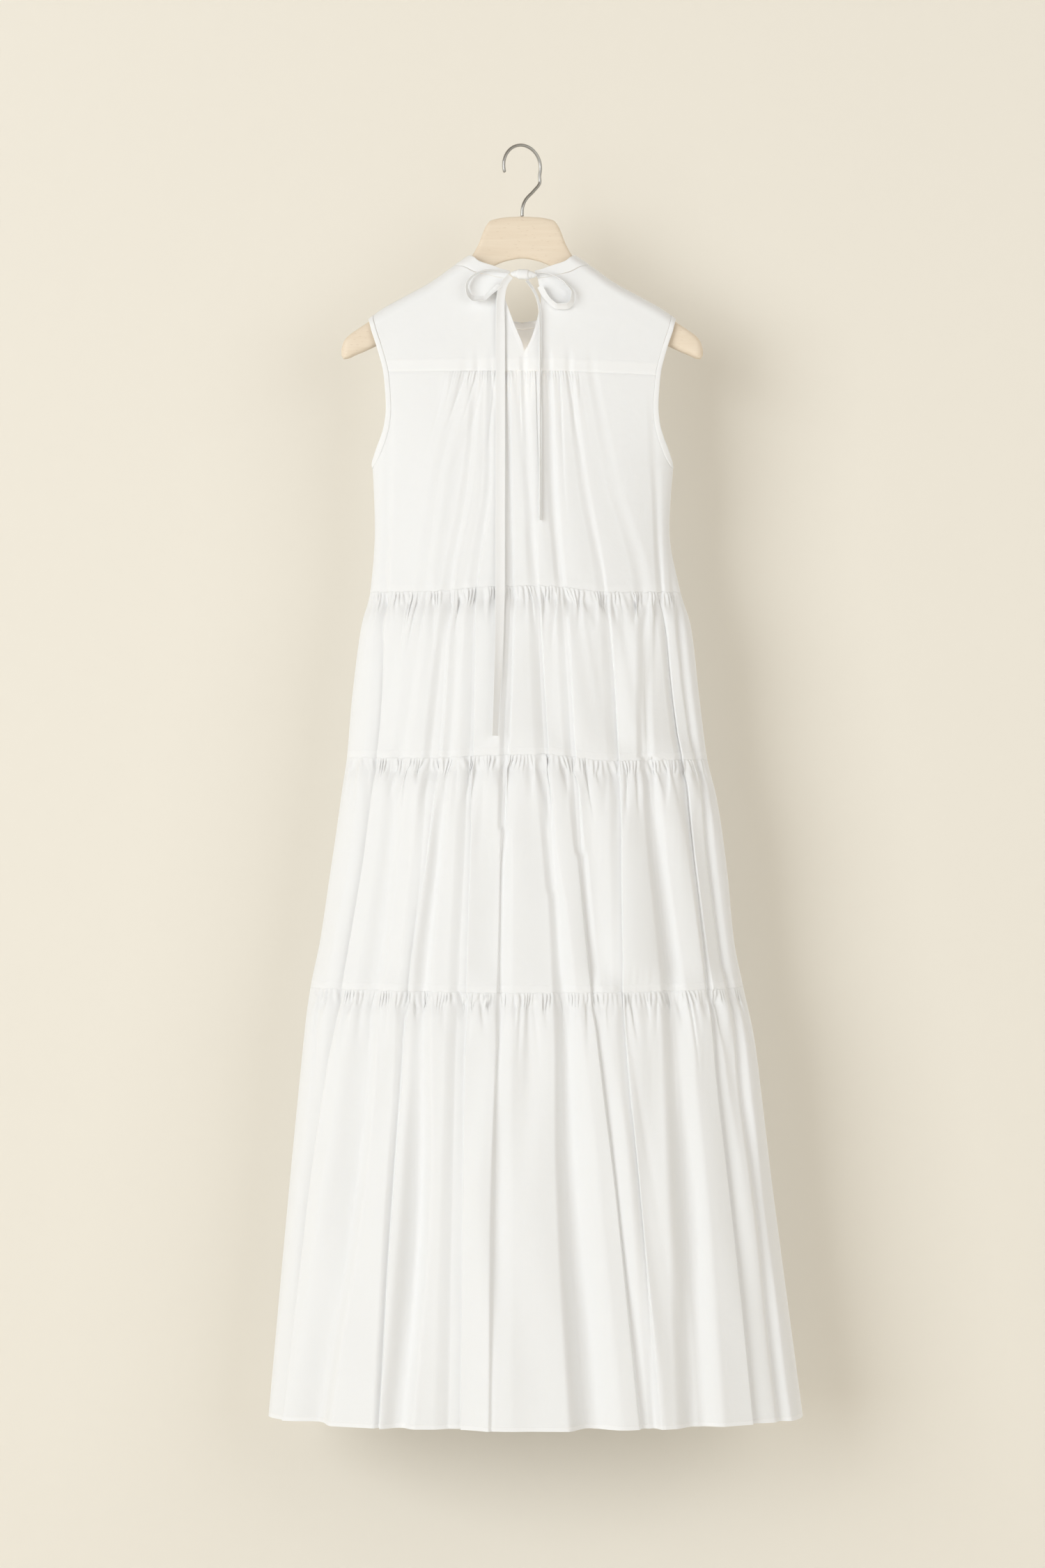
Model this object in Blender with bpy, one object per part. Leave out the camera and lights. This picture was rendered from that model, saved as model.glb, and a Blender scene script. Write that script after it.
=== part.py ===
"""A sleeveless tiered maxi dress, tied at the back of the neck, hanging on its hanger.

The origin is the inside top of the hanger's hook. X runs to the right as the dress is seen from behind, -Y is
the side that faces the viewer (the back of the dress) and Z is up. Tables are in millimetres, and a height is
given as its drop below the hook.
"""
import math
from bisect import bisect_right
from collections import namedtuple

import bmesh
import bpy
from mathutils import Matrix, Vector

MM = 0.001
BACK, FRONT = -1, 1
LEFT, RIGHT = -1, 1

CLOTH = 1.2  # a cotton wall: the cloth with its turned seam allowances
BINDING = 2.0  # the neckband and the armhole bindings are folded double
RIBBON = 1.2
SEAM_GAP = 0.4  # between pieces that are sewn edge to edge
SIDE_GAP = 0.7  # between the back and the front at their side seams
SHOULDER_ROUND = 14  # radius of the cloth where it turns over the hanger's arm
QUARTER_TURN = SHOULDER_ROUND * math.pi / 2

YOKE, WAIST, HIP, KNEE, HEM = 260, 511, 701, 965, 1456
ARMPIT = 370
SLIT_END = 240

# The body's outline, as seen from behind and from the side.
Section = namedtuple("Section", "drop left right back front")
SECTIONS = (
    Section(90, -230, 230, 17, 16),
    Section(200, -226, 226, 20, 18),
    Section(258, -206, 206, 24, 22),
    Section(310, -187, 188, 28, 26),
    Section(370, -171.6, 173.2, 32, 29),
    Section(440, -169, 169, 36, 33),
    Section(509, -174, 181, 40, 38),
    Section(552, -184, 193, 48, 45),
    Section(632, -195, 203, 55, 51),
    Section(701, -201, 212, 59, 55),
    Section(752, -208, 223, 66, 61),
    Section(832, -220, 235, 71, 66),
    Section(912, -232, 243, 75, 70),
    Section(966, -243, 254, 79, 74),
    Section(1032, -251, 267, 88, 82),
    Section(1192, -267, 287, 98, 92),
    Section(1456, -291, 322, 110, 104),
)

# The line where the cloth lies over the hanger's arms. Inside the neck it only steers the slope of the neckband.
Shoulder = namedtuple("Shoulder", "across drop")
SHOULDER_LINE = (
    Shoulder(0, 90),
    Shoulder(30, 101),
    Shoulder(60.5, 125.2),
    Shoulder(79, 137.6),
    Shoulder(106, 156.6),
    Shoulder(134, 172),
    Shoulder(161, 187),
    Shoulder(178, 200),
)

# Where the armhole's binding ends, and where the cloth inside it ends.
Armhole = namedtuple("Armhole", "drop edge cloth")
ARMHOLE = (
    Armhole(199, 176.5, 170.3),
    Armhole(211, 173.2, 167),
    Armhole(228, 167.6, 161.4),
    Armhole(244, 162.8, 156.7),
    Armhole(260, 159, 152.9),
    Armhole(280, 157, 150.9),
    Armhole(300, 156, 149.9),
    Armhole(320, 158, 151.4),
    Armhole(334, 162, 154.7),
    Armhole(346, 166.8, 158.8),
    Armhole(356, 170.2, 163),
    Armhole(363.6, 172.4, 167.5),
    Armhole(370, 172.4, 172.4),
)

# Half of the neckband, from its end beside the slit over the shoulder to the middle of the front.
Neckband = namedtuple("Neckband", "side inner inner_drop outer outer_drop")
NECKBAND = (
    Neckband(BACK, 14, 145, 17.6, 153.8),
    Neckband(BACK, 24, 142.4, 28, 152.2),
    Neckband(BACK, 40, 136.8, 43.5, 148.4),
    Neckband(BACK, 53, 130.6, 62, 142),
    Neckband(BACK, 60.5, 125.2, 76.4, 136),
    Neckband(FRONT, 58.5, 147, 73, 156),
    Neckband(FRONT, 47, 174.5, 57.5, 184.5),
    Neckband(FRONT, 26, 194, 31, 203),
    Neckband(FRONT, 0, 199.8, 0, 207.8),
)

# The slit below the tie hangs open.
Slit = namedtuple("Slit", "drop left right")
SLIT = (
    Slit(153.8, -17.6, 17.6),
    Slit(165.5, -19, 20),
    Slit(174.5, -19.5, 21.5),
    Slit(187.5, -16, 19.5),
    Slit(202.5, -11, 16.5),
    Slit(221.5, -4, 11),
    Slit(233.5, 0.5, 6),
    Slit(SLIT_END, 2.2, 2.6),
)

# How each seam sways across the dress.
Sway = namedtuple("Sway", "across yoke waist hip knee hem")
SEAM_SWAY = (
    Sway(-300, 0, -1, -2, -1, 0),
    Sway(-110, 0, 1, 1, 1, 0),
    Sway(-40, -0.5, -4, -2, 2, 0),
    Sway(25, -0.5, -5, -3, 2, 0),
    Sway(100, 2, 2, 4, 2, 0),
    Sway(170, 4, 1, 3, 1, 0),
    Sway(320, 4, -4, 0, -3, 0),
)

# Each long fold's valley across the back, and how deep it is, at these drops from the yoke to the hem.
LEVELS = (260, 384, 511, 702, 967, 1197, 1456)
Fold = namedtuple("Fold", "across depth breadth tuck")
FOLDS = (
    Fold((-150, -153, -157, -169, -210, -248, -276), (0, 3, 8, 12, 14, 12, 10), 0.7, 0),
    Fold((-63, -95, -111, -138, -169, -195, -228), (2, 7, 5, 3, 7, 22, 24), 0.9, 0),
    Fold((-51, -62, -83, -99, -131, -149, -166), (3, 8, 12, 12, 12, 24, 62), 0.55, -9),
    Fold((-44, -49, -69, -83, -112, -115, -139), (1, 1, 2, 3, 6, 15, 20), 0.8, 0),
    Fold((-36, -38, -54, -59, -67, -76, -92), (2, 4, 12, 11, 14, 36, 70), 0.75, 13),
    Fold((-20, -16, -12, -19, -23, -31, -35), (3, 6, 15, 15, 20, 28, 40), 0.5, -10),
    Fold((2, 8, 16, 27, 45, 57, 78), (4, 8, 9, 10, 13, 14, 18), 1, 0),
    Fold((30, 34, 46, 56, 82, 112, 138), (4, 7, 14, 14, 12, 24, 50), 0.6, -10),
    Fold((54, 70, 93, 107, 111, 128, 158), (3, 5, 6, 9, 9, 18, 44), 1, 0),
    Fold((80, 104, 137, 142, 168, 184, 192), (1, 2, 5, 7, 8, 14, 44), 0.9, 0),
    Fold((146, 153, 159, 180, 213, 243, 266), (0, 3, 8, 12, 14, 24, 34), 0.6, -10),
    Fold((165, 167, 174, 200, 238, 270, 298), (0, 0, 5, 8, 9, 10, 12), 0.7, 0),
)
FRONT_DEPTHS = (0.8, 1, 0.7, 0.9)  # the hidden front repeats the folds, mirrored, with these shares of the depth

# A tier hangs from one seam to the next: its small gathers, and the rows of its wall as shares of its height.
Tier = namedtuple("Tier", "name top bottom top_seam bottom_seam pitch gather length rows")
TIERS = (
    Tier("tier_1", WAIST, HIP, "waist", "hip", 20, 2.2, 80, (0, 0.07, 0.16, 0.3, 0.5, 0.75, 1)),
    Tier("tier_2", HIP, KNEE, "hip", "knee", 22, 2.6, 100, (0, 0.05, 0.12, 0.22, 0.37, 0.56, 0.78, 1)),
    Tier("tier_3", KNEE, HEM, "knee", "hem", 24, 3.2, 130, (0, 0.03, 0.07, 0.13, 0.22, 0.38, 0.58, 0.8, 1)),
)
GATHER_PUFF = 5  # how far a tier stands out below its gathered seam

# The rows of the bodice's walls, as shares of the way: over the shoulder to the yoke's seam (the slit ends on the
# last but one), from there to the armpit, and on to the waist.
YOKE_ROWS = (0, 0.04, 0.09, 0.17, 0.3, 0.5, 0.824, 1)
ARMHOLE_ROWS = (0, 0.2, 0.42, 0.65, 0.85, 1)
WAIST_ROWS = (0.3, 0.65, 1)
SHOULDER_END = 170.3  # where the yoke's cloth meets the armhole binding on the shoulder line
SHOULDER_COLUMNS = 10
NECK_STEPS = 20
SLIT_FOOT = 2.4

YOKE_GATHERED = (-88, 62)  # the stretch of the yoke seam that is gathered, into 22 small gathers
YOKE_GATHER = 1.3
YOKE_GATHER_LENGTH = 120
BACK_COLUMNS = (14, 4, 2, 2, 4, 6, 8, 8, 8, 10)  # between the armholes and the bodice's long folds

# The hanger is the same on both sides of its hook.
Wood = namedtuple("Wood", "across top bottom half_depth")
HANGER = (
    Wood(0, 80.4, 128.4, 6),
    Wood(16, 81, 130.8, 6),
    Wood(36, 84.8, 138.8, 6.2),
    Wood(42, 92, 142.8, 6.4),
    Wood(50.4, 112.6, 148.9, 6.6),
    Wood(60.2, 128.6, 155.7, 6.8),
    Wood(79, 140.6, 172, 7.1),
    Wood(106, 159, 188.3, 7.6),
    Wood(134, 174.4, 207, 8.2),
    Wood(161, 189.4, 225.3, 8.8),
    Wood(178, 202.4, 233.8, 9.1),
    Wood(191.6, 211.5, 239.6, 9.2),
    Wood(199.6, 217.5, 243.2, 8.8),
    Wood(204.8, 224, 243.8, 6.6),
    Wood(207.4, 232, 240, 3),
)
WOOD_SIDES = 12

HOOK_RADIUS = 24.5  # to the middle of the wire
HOOK_WIRE = 3.7
HOOK_TURN = 30  # degrees that the hook is turned round its shank
HOOK_SIDES = 8
Wire = namedtuple("Wire", "across drop")
HOOK_SHANK = (Wire(23.8, 38), Wire(15, 50), Wire(5, 60), Wire(1, 68), Wire(0, 74), Wire(0, 80))

# The tie's strips: where the middle of the strip runs, how far in front of the yoke, its width, and how far the
# strip is turned from lying flat (0) to edge-on (90).
Strip = namedtuple("Strip", "across drop away width turn")
LOOP_LEFT = (
    Strip(-13.7, 147.1, 6.6, 9, 80),
    Strip(-26, 146, 7.6, 9.5, 85),
    Strip(-40, 145.3, 10, 10, 85),
    Strip(-52, 148.6, 12, 10, 85),
    Strip(-60, 155.2, 13, 10, 80),
    Strip(-63.5, 164.2, 13.5, 10, 75),
    Strip(-61, 173.1, 13.5, 10, 60),
    Strip(-54, 178.5, 13, 10, 50),
    Strip(-45, 178.3, 11.5, 10, 55),
    Strip(-37, 172.6, 9.5, 10, 60),
    Strip(-30, 166.3, 6.8, 9.5, 50),
    Strip(-25.5, 162.6, 5.4, 9, 45),
)
LOOP_RIGHT = (
    Strip(17.1, 147.1, 6.6, 9, 80),
    Strip(30, 149, 8, 9.5, 85),
    Strip(41, 153.8, 10, 10, 85),
    Strip(51, 162, 12, 10, 80),
    Strip(57.5, 171.1, 13, 10, 70),
    Strip(57, 180.1, 13.5, 10, 60),
    Strip(50, 186, 13, 10, 50),
    Strip(41, 186.3, 11.5, 10, 55),
    Strip(32, 180.5, 9, 10, 60),
    Strip(25, 171.7, 6.6, 9.5, 50),
    Strip(20.5, 163.1, 5.4, 9, 45),
)
TAIL_LEFT = (
    Strip(-13.6, 151.8, 8.6, 8, 30),
    Strip(-20, 159.9, 10.8, 9, 25),
    Strip(-23.5, 168.8, 11, 10, 20),
    Strip(-25, 185.6, 10, 10, 15),
    Strip(-25, 218.1, 8, 11, 10),
    Strip(-25, 273.3, 7.5, 11, 8),
    Strip(-25, 343.3, 7.5, 11, 6),
    Strip(-25, 423.2, 7.5, 11, 5),
    Strip(-25, 492.8, 8, 11, 8),
    Strip(-25.5, 542.6, 11, 11, 20),
    Strip(-27, 592.1, 12, 11, 45),
    Strip(-29, 631.6, 11, 11, 65),
    Strip(-31, 676.9, 10, 11, 72),
)
TAIL_RIGHT = (
    Strip(5.2, 157, 7, 8, 55),
    Strip(12, 166.5, 8.5, 9, 55),
    Strip(17.5, 178.4, 8.5, 10, 55),
    Strip(20, 193.3, 8.5, 10, 50),
    Strip(20.5, 223.2, 8.5, 10, 50),
    Strip(20.5, 273.4, 8.5, 10, 50),
    Strip(20.4, 333.4, 8.5, 10, 52),
    Strip(20.4, 388.4, 8.5, 10, 55),
    Strip(20.4, 431.2, 8.5, 10, 50),
)
KNOT = Strip(1.7, 150, 6.6, 30, 0)
KNOT_HALF_HEIGHT, KNOT_HALF_DEPTH = 5.6, 5


def curve_through(places, values):
    """A smooth function through the values that never swings past them."""
    steps = [b - a for a, b in zip(places, places[1:])]
    slopes = [(b - a) / step for a, b, step in zip(values, values[1:], steps)]
    bends = [0 if a * b <= 0 else 2 * a * b / (a + b) for a, b in zip(slopes, slopes[1:])]
    tangents = [slopes[0], *bends, slopes[-1]]

    def value(place):
        place = min(max(place, places[0]), places[-1])
        i = min(bisect_right(places, place) - 1, len(steps) - 1)
        t = (place - places[i]) / steps[i]
        start = (1 + 2 * t) * (1 - t) ** 2 * values[i] + t * (1 - t) ** 2 * steps[i] * tangents[i]
        end = t * t * (3 - 2 * t) * values[i + 1] + t * t * (t - 1) * steps[i] * tangents[i + 1]
        return start + end

    return value


def column(table, place, value):
    """The curve of one named column of a table over another."""
    return curve_through([getattr(row, place) for row in table], [getattr(row, value) for row in table])


LEFT_SIDE = column(SECTIONS, "drop", "left")
RIGHT_SIDE = column(SECTIONS, "drop", "right")
DEPTH = {BACK: column(SECTIONS, "drop", "back"), FRONT: column(SECTIONS, "drop", "front")}
SHOULDER_DROP = column(SHOULDER_LINE, "across", "drop")
ARMHOLE_EDGE = column(ARMHOLE, "drop", "edge")
ARMHOLE_CLOTH = column(ARMHOLE, "drop", "cloth")
SLIT_SIDE = {LEFT: column(SLIT, "drop", "left"), RIGHT: column(SLIT, "drop", "right")}
SWAY = {seam: column(SEAM_SWAY, "across", seam) for seam in Sway._fields[1:]}
FOLD_ACROSS = [curve_through(LEVELS, fold.across) for fold in FOLDS]
FOLD_DEPTH = [curve_through(LEVELS, fold.depth) for fold in FOLDS]


def between(a, b, share):
    return a + (b - a) * share


def seam_drop(seam, across):
    level = {"yoke": YOKE, "waist": WAIST, "hip": HIP, "knee": KNEE, "hem": HEM}[seam]
    return level + SWAY[seam](across)


def turn_at(across, drop):
    """The angle round the body, 0 at the left side seam and pi at the right, of a place across it."""
    left, right = LEFT_SIDE(drop), RIGHT_SIDE(drop)
    return math.acos(max(-1, min(1, (left + right - 2 * across) / (right - left))))


def across_at(turn, drop):
    left, right = LEFT_SIDE(drop), RIGHT_SIDE(drop)
    return (left + right) / 2 - (right - left) / 2 * math.cos(turn)


def valleys(drop, side):
    """(turn, depth, breadth, tuck) of each fold at this drop, from left to right, between two flat side seams."""
    found = [(0, 0, 1, 0), (math.pi, 0, 1, 0)]
    for i, fold in enumerate(FOLDS):
        turn, depth = turn_at(FOLD_ACROSS[i](drop), drop), FOLD_DEPTH[i](drop)
        tuck = fold.tuck * depth / fold.depth[-1]
        if side == FRONT:
            turn, tuck = math.pi - turn, -tuck
            depth *= FRONT_DEPTHS[i % len(FRONT_DEPTHS)]
        found.append((turn, depth, fold.breadth, tuck))
    return sorted(found)


def dip(share):
    """A valley's profile: 1 at its bottom, and 0 from the top of its flank on."""
    return (1 + math.cos(math.pi * share)) / 2 if share < 1 else 0


def fold_at(turn, drop, side):
    """How far the folds push the cloth out, and how far round, at a place on the body."""
    found = valleys(drop, side)
    k = max(i for i, valley in enumerate(found[:-1]) if valley[0] <= turn or i == 0)
    near, far = found[k], found[k + 1]
    share = (turn - near[0]) / max(far[0] - near[0], 1e-6)
    low, high = dip(share / near[2]), dip((1 - share) / far[2])
    at_sides = min(1, 2.5 * math.sin(turn))
    return -at_sides * (near[1] * low + far[1] * high), at_sides * (near[3] * low + far[3] * high)


def body_point(across, drop, side, swell=1, out=0, folded=1):
    """A point of the cloth in millimetres, pushed out by the folds and by out."""
    turn = turn_at(across, drop)
    half = (RIGHT_SIDE(drop) - LEFT_SIDE(drop)) / 2
    depth = DEPTH[side](drop)
    push, shift = fold_at(turn, drop, side)
    outward = Vector((-math.cos(turn) / half, side * math.sin(turn) / depth, 0)).normalized()
    along = Vector((side * outward.y, -side * outward.x, 0))
    base = Vector((across, side * (depth * math.sin(turn) * swell + SIDE_GAP / 2), -drop))
    return base + outward * (push * folded + out) + along * shift * folded


def over_shoulder(across, over, side):
    """A point of the cloth at an arc length over from the shoulder line, down the back or the front."""
    drop = drop_for(across, over)
    folded = dip((YOKE - drop) / 90) if drop < YOKE else 1
    angle = min(over / SHOULDER_ROUND, math.pi / 2)
    return body_point(across, drop, side, math.sin(angle), 0, folded)


def drop_for(across, over):
    """The drop at this arc length from the shoulder line."""
    if over >= QUARTER_TURN:
        return SHOULDER_DROP(abs(across)) + SHOULDER_ROUND + over - QUARTER_TURN
    return SHOULDER_DROP(abs(across)) + SHOULDER_ROUND * (1 - math.cos(over / SHOULDER_ROUND))


def over_for(across, drop):
    """The arc length from the shoulder line down to this drop."""
    fall = max(0, drop - SHOULDER_DROP(abs(across)))
    if fall >= SHOULDER_ROUND:
        return QUARTER_TURN + fall - SHOULDER_ROUND
    return SHOULDER_ROUND * math.acos(1 - fall / SHOULDER_ROUND)


def cloth_edge(drop, end):
    """How far across the cloth reaches at this drop: to its armhole binding, or lower down to the side seam."""
    if drop >= ARMPIT - 0.01:
        return RIGHT_SIDE(drop) if end == RIGHT else LEFT_SIDE(drop)
    return end * ARMHOLE_CLOTH(drop)


def material(name, colour, roughness, metallic=0):
    made = bpy.data.materials.new(name)
    made.use_nodes = True
    shader = made.node_tree.nodes["Principled BSDF"]
    shader.inputs["Base Color"].default_value = (*colour, 1)
    shader.inputs["Roughness"].default_value = roughness
    shader.inputs["Metallic"].default_value = metallic
    return made


def add_object(name, mesh_data, finish):
    mesh_data.materials.append(finish)
    made = bpy.data.objects.new(name, mesh_data)
    bpy.context.scene.collection.objects.link(made)
    made.parent = bpy.data.objects["dress_on_hanger"]
    return made


def grid_faces(rows, columns, first=0, closed=False):
    """Quads between the rows of a grid of points, facing the side from which the columns run left to right."""
    faces = []
    for i in range(rows - 1 + closed):
        below = (i + 1) % rows
        for j in range(columns - 1):
            a, b = first + i * columns + j, first + below * columns + j
            faces.append((a, b, b + 1, a + 1))
    return faces


def wall(name, grids, thickness, finish, side, closed=False):
    """A cloth wall of even thickness over one or more grids of points, which share the points where they meet."""
    points, faces = [], []
    for grid in grids:
        faces += grid_faces(len(grid), len(grid[0]), len(points), closed)
        points += [point * MM for row in grid for point in row]
    if side == FRONT:
        faces = [face[::-1] for face in faces]
    mesh = bpy.data.meshes.new(name)
    mesh.from_pydata(points, [], faces)
    shape = bmesh.new()
    shape.from_mesh(mesh)
    bmesh.ops.remove_doubles(shape, verts=shape.verts, dist=0.01 * MM)
    shape.to_mesh(mesh)
    shape.free()
    made = add_object(name, mesh, finish)
    solid = made.modifiers.new("cloth", "SOLIDIFY")
    solid.thickness = thickness * MM
    solid.offset = 0
    return made


def gather_wave(index, below, depth, length):
    """The push of a small gather on every second column, fading out at its own length below the seam."""
    reach = length * (0.55 + 0.45 * math.sin(index * 2.4) ** 2)
    fade = max(0, 1 - below / reach) ** 1.5 * (0.45 + 0.55 * min(1, below / 14))
    return (depth if index % 2 else -depth) * fade


def tier_columns(tier, side):
    """(gap, share) of each column: every gap between valleys is split evenly into small gathers."""
    top = [across_at(valley[0], tier.top) for valley in valleys(tier.top, side)]
    bottom = [across_at(valley[0], tier.bottom) for valley in valleys(tier.bottom, side)]
    columns = []
    for gap in range(len(top) - 1):
        width = max(top[gap + 1] - top[gap], 0.6 * (bottom[gap + 1] - bottom[gap]))
        count = 2 * max(1, round(width / tier.pitch))
        columns += [(gap, i / count) for i in range(count)]
    return [*columns, (len(top) - 2, 1)]


def tier_panel(tier, side, finish):
    """One gathered panel of a tier, from its left side seam to its right one."""
    columns = tier_columns(tier, side)
    grid = []
    for share in tier.rows:
        level = between(tier.top, tier.bottom, share)
        found = valleys(level, side)
        row = []
        for index, (gap, even) in enumerate(columns):
            bunched = (1 - math.cos(math.pi * even)) / 2
            place = between(even, bunched, 0.7 * share)
            turn = between(found[gap][0], found[gap + 1][0], place)
            across = across_at(turn, level)
            top = seam_drop(tier.top_seam, across) + SEAM_GAP
            drop = between(top, seam_drop(tier.bottom_seam, across), share)
            at_side = math.sin(turn)
            below = drop - top
            puff = GATHER_PUFF * dip(abs(below - tier.length / 3) / (tier.length / 2))
            push = gather_wave(index, below, tier.gather, tier.length) + puff
            row.append(body_point(across_at(turn, drop), drop, side, 1, push * min(1, 3 * at_side)))
        grid.append(row)
    facing = "back" if side == BACK else "front"
    return wall(f"{tier.name}_{facing}", [grid], CLOTH, finish, side)


def neck_edges(end):
    """(inner, outer) places of the neckband's half, each (across, over), from the slit to the middle front."""
    places = list(range(len(NECKBAND)))
    edges = []
    for across, drop in (("inner", "inner_drop"), ("outer", "outer_drop")):
        reach = [getattr(row, across) for row in NECKBAND]
        overs = [row.side * over_for(getattr(row, across), getattr(row, drop)) for row in NECKBAND]
        edges.append((curve_through(places, reach), curve_through(places, overs)))
    found = []
    for i in range(NECK_STEPS + 1):
        place = places[-1] * i / NECK_STEPS
        found.append([(end * across(place), over(place)) for across, over in edges])
    return found


def armhole_station(end, share):
    """(across, over) of the cloth's edge, a share of the way from the shoulder line to the yoke's level."""
    foot = end * ARMHOLE_CLOTH(seam_drop("yoke", end * 153))
    over = share * over_for(foot, seam_drop("yoke", foot))
    across = SHOULDER_END
    for _ in range(12):
        across = ARMHOLE_CLOTH(drop_for(across, over))
    return end * min(across, SHOULDER_END), over


def slit_station(end, share):
    """(across, over) of the slit's edge, and below its end of the middle of the yoke."""
    top = end * NECKBAND[0].outer
    over = between(over_for(top, NECKBAND[0].outer_drop), over_for(SLIT_FOOT, seam_drop("yoke", SLIT_FOOT)), share)
    across = SLIT_FOOT if share > 0.8 else SLIT_SIDE[end](drop_for(0.5 * top, over) + 4 * (1 - share))
    return across, over


def middle_station(share):
    """(across, over) down the middle of the front, from the neckband to the yoke's level."""
    top = over_for(0, NECKBAND[-1].outer_drop + 2 * SEAM_GAP)
    return 0, between(top, over_for(0, seam_drop("yoke", 0)), share)


def upper_half(side, end):
    """Rows (across, over) of half a shoulder's cloth, down to the yoke's level: at the back, the yoke itself."""
    neck_point = NECKBAND[4].outer
    top = [(end * between(SHOULDER_END, neck_point + 2 * SEAM_GAP, (i / SHOULDER_COLUMNS) ** 1.4), 0)
           for i in range(SHOULDER_COLUMNS + 1)]
    edges = neck_edges(end)
    middle = NECK_STEPS // 2
    steps = range(middle - 1, -1, -1) if side == BACK else range(middle + 1, NECK_STEPS + 1)
    for i in steps:
        (inner, inner_over), (outer, outer_over) = edges[i]
        away = Vector((outer - inner, abs(outer_over) - abs(inner_over))).normalized() * 2 * SEAM_GAP
        top.append((outer + away.x, abs(outer_over) + away.y))
    stations = [slit_station(end, share) if side == BACK else middle_station(share) for share in YOKE_ROWS]
    top[-1] = stations[0]
    foot_start, foot_end = armhole_station(end, 1)[0], stations[-1][0]
    start, finish = top[0], top[-1]
    grid = []
    for share, at_middle in zip(YOKE_ROWS, stations):
        at_armhole = armhole_station(end, share)
        row = []
        for across, over in top:
            place = (start[0] - across) / (start[0] - finish[0])
            foot = between(foot_start, foot_end, place)
            foot_over = over_for(foot, seam_drop("yoke", foot))
            corner = [(start[0], start[1], foot_start, over_for(foot_start, seam_drop("yoke", foot_start)))]
            corner.append((finish[0], finish[1], foot_end, over_for(foot_end, seam_drop("yoke", foot_end))))
            spots = []
            for axis, here, low in ((0, across, foot), (1, over, foot_over)):
                value = between(here, low, share)
                for weight, edge, ends in ((1 - place, at_armhole, corner[0]), (place, at_middle, corner[1])):
                    value += weight * (edge[axis] - between(ends[axis], ends[axis + 2], share))
                spots.append(value)
            row.append((spots[0], max(0, spots[1])))
        grid.append(row if end == LEFT else row[::-1])
    return grid


def bodice_knots(drop):
    """Where the bodice's columns gather at this drop: the cloth's edges and the long folds between them."""
    folds = [FOLD_ACROSS[i](drop) for i in range(1, 10)]
    return [cloth_edge(drop, LEFT), *folds, cloth_edge(drop, RIGHT)]


def bodice_rows(columns, side, gathered):
    """Rows of a bodice panel below the yoke's level, for columns of (gap, share) between its knots."""
    steps = [(seam_drop, ARMPIT, share) for share in ARMHOLE_ROWS] + [(ARMPIT, WAIST, share) for share in WAIST_ROWS]
    grid = []
    for start, stop, share in steps:
        row = []
        for index, (gap, even) in enumerate(columns):
            level = between(YOKE if start is seam_drop else start, stop, share)
            across = between(*bodice_knots(level)[gap:gap + 2], even)
            top = seam_drop("yoke", across) + (SEAM_GAP if gathered else 0)
            low = seam_drop("waist", across) if stop == WAIST else stop
            drop = between(top if start is seam_drop else start, low, share)
            across = between(*bodice_knots(drop)[gap:gap + 2], even)
            push = 0
            if gathered:
                at_seam = between(*bodice_knots(YOKE)[gap:gap + 2], even)
                inside = min(at_seam - YOKE_GATHERED[0], YOKE_GATHERED[1] - at_seam) / 8
                wave = gather_wave(index, drop - top, YOKE_GATHER, YOKE_GATHER_LENGTH)
                push = wave * max(0, min(1, inside))
            row.append(body_point(across, drop, side, 1, push))
        grid.append(row)
    return grid


def closer_to_sides(share, gap, last):
    """Columns stand closer where the cloth turns round to the side."""
    if gap == 0:
        return (share + share ** 1.6) / 2
    if gap == last:
        return 1 - (1 - share + (1 - share) ** 1.6) / 2
    return share


def back_bodice(finish):
    last = len(BACK_COLUMNS) - 1
    columns = [(gap, i / count) for gap, count in enumerate(BACK_COLUMNS) for i in range(count)]
    columns = [(gap, closer_to_sides(share, gap, last)) for gap, share in columns]
    columns.append((last, 1))
    wall("back_bodice", [bodice_rows(columns, BACK, True)], CLOTH, finish, BACK)


def front_bodice(finish):
    """The front is one piece from the shoulders to the waist."""
    left, right = upper_half(FRONT, LEFT), upper_half(FRONT, RIGHT)
    upper = [[*a, *b[1:]] for a, b in zip(left, right)]
    knots = bodice_knots(YOKE)
    columns = []
    for across, _ in upper[-1]:
        gap = min(max(0, bisect_right(knots, across) - 1), len(knots) - 2)
        share = (across - knots[gap]) / (knots[gap + 1] - knots[gap])
        columns.append((gap, share))
    columns[0], columns[-1] = (0, 0), (len(knots) - 2, 1)
    grid = [[over_shoulder(across, over, FRONT) for across, over in row] for row in upper[:-1]]
    grid += bodice_rows(columns, FRONT, False)
    wall("front_bodice", [grid], CLOTH, finish, FRONT)


def back_yoke(finish):
    """The yoke hangs in two halves beside the slit, joined below its end."""
    halves = [[[over_shoulder(across, over, BACK) for across, over in row] for row in upper_half(BACK, end)]
              for end in (LEFT, RIGHT)]
    wall("back_yoke", halves, CLOTH, finish, BACK)


def neckband(finish):
    """The band round the neck: open at the slit, and lying over both shoulders."""
    grid = []
    for (inner, inner_over), (outer, outer_over) in [*neck_edges(LEFT), *neck_edges(RIGHT)[::-1][1:]]:
        side = BACK if outer_over <= 0 else FRONT
        row = [over_shoulder(between(inner, outer, share), abs(between(inner_over, outer_over, share)), side)
               for share in (0, 0.5, 1)]
        if outer_over == 0:
            for point in row:
                point.y = 0
        grid.append(row)
    wall("neckband", [grid], BINDING, finish, FRONT)


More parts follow.
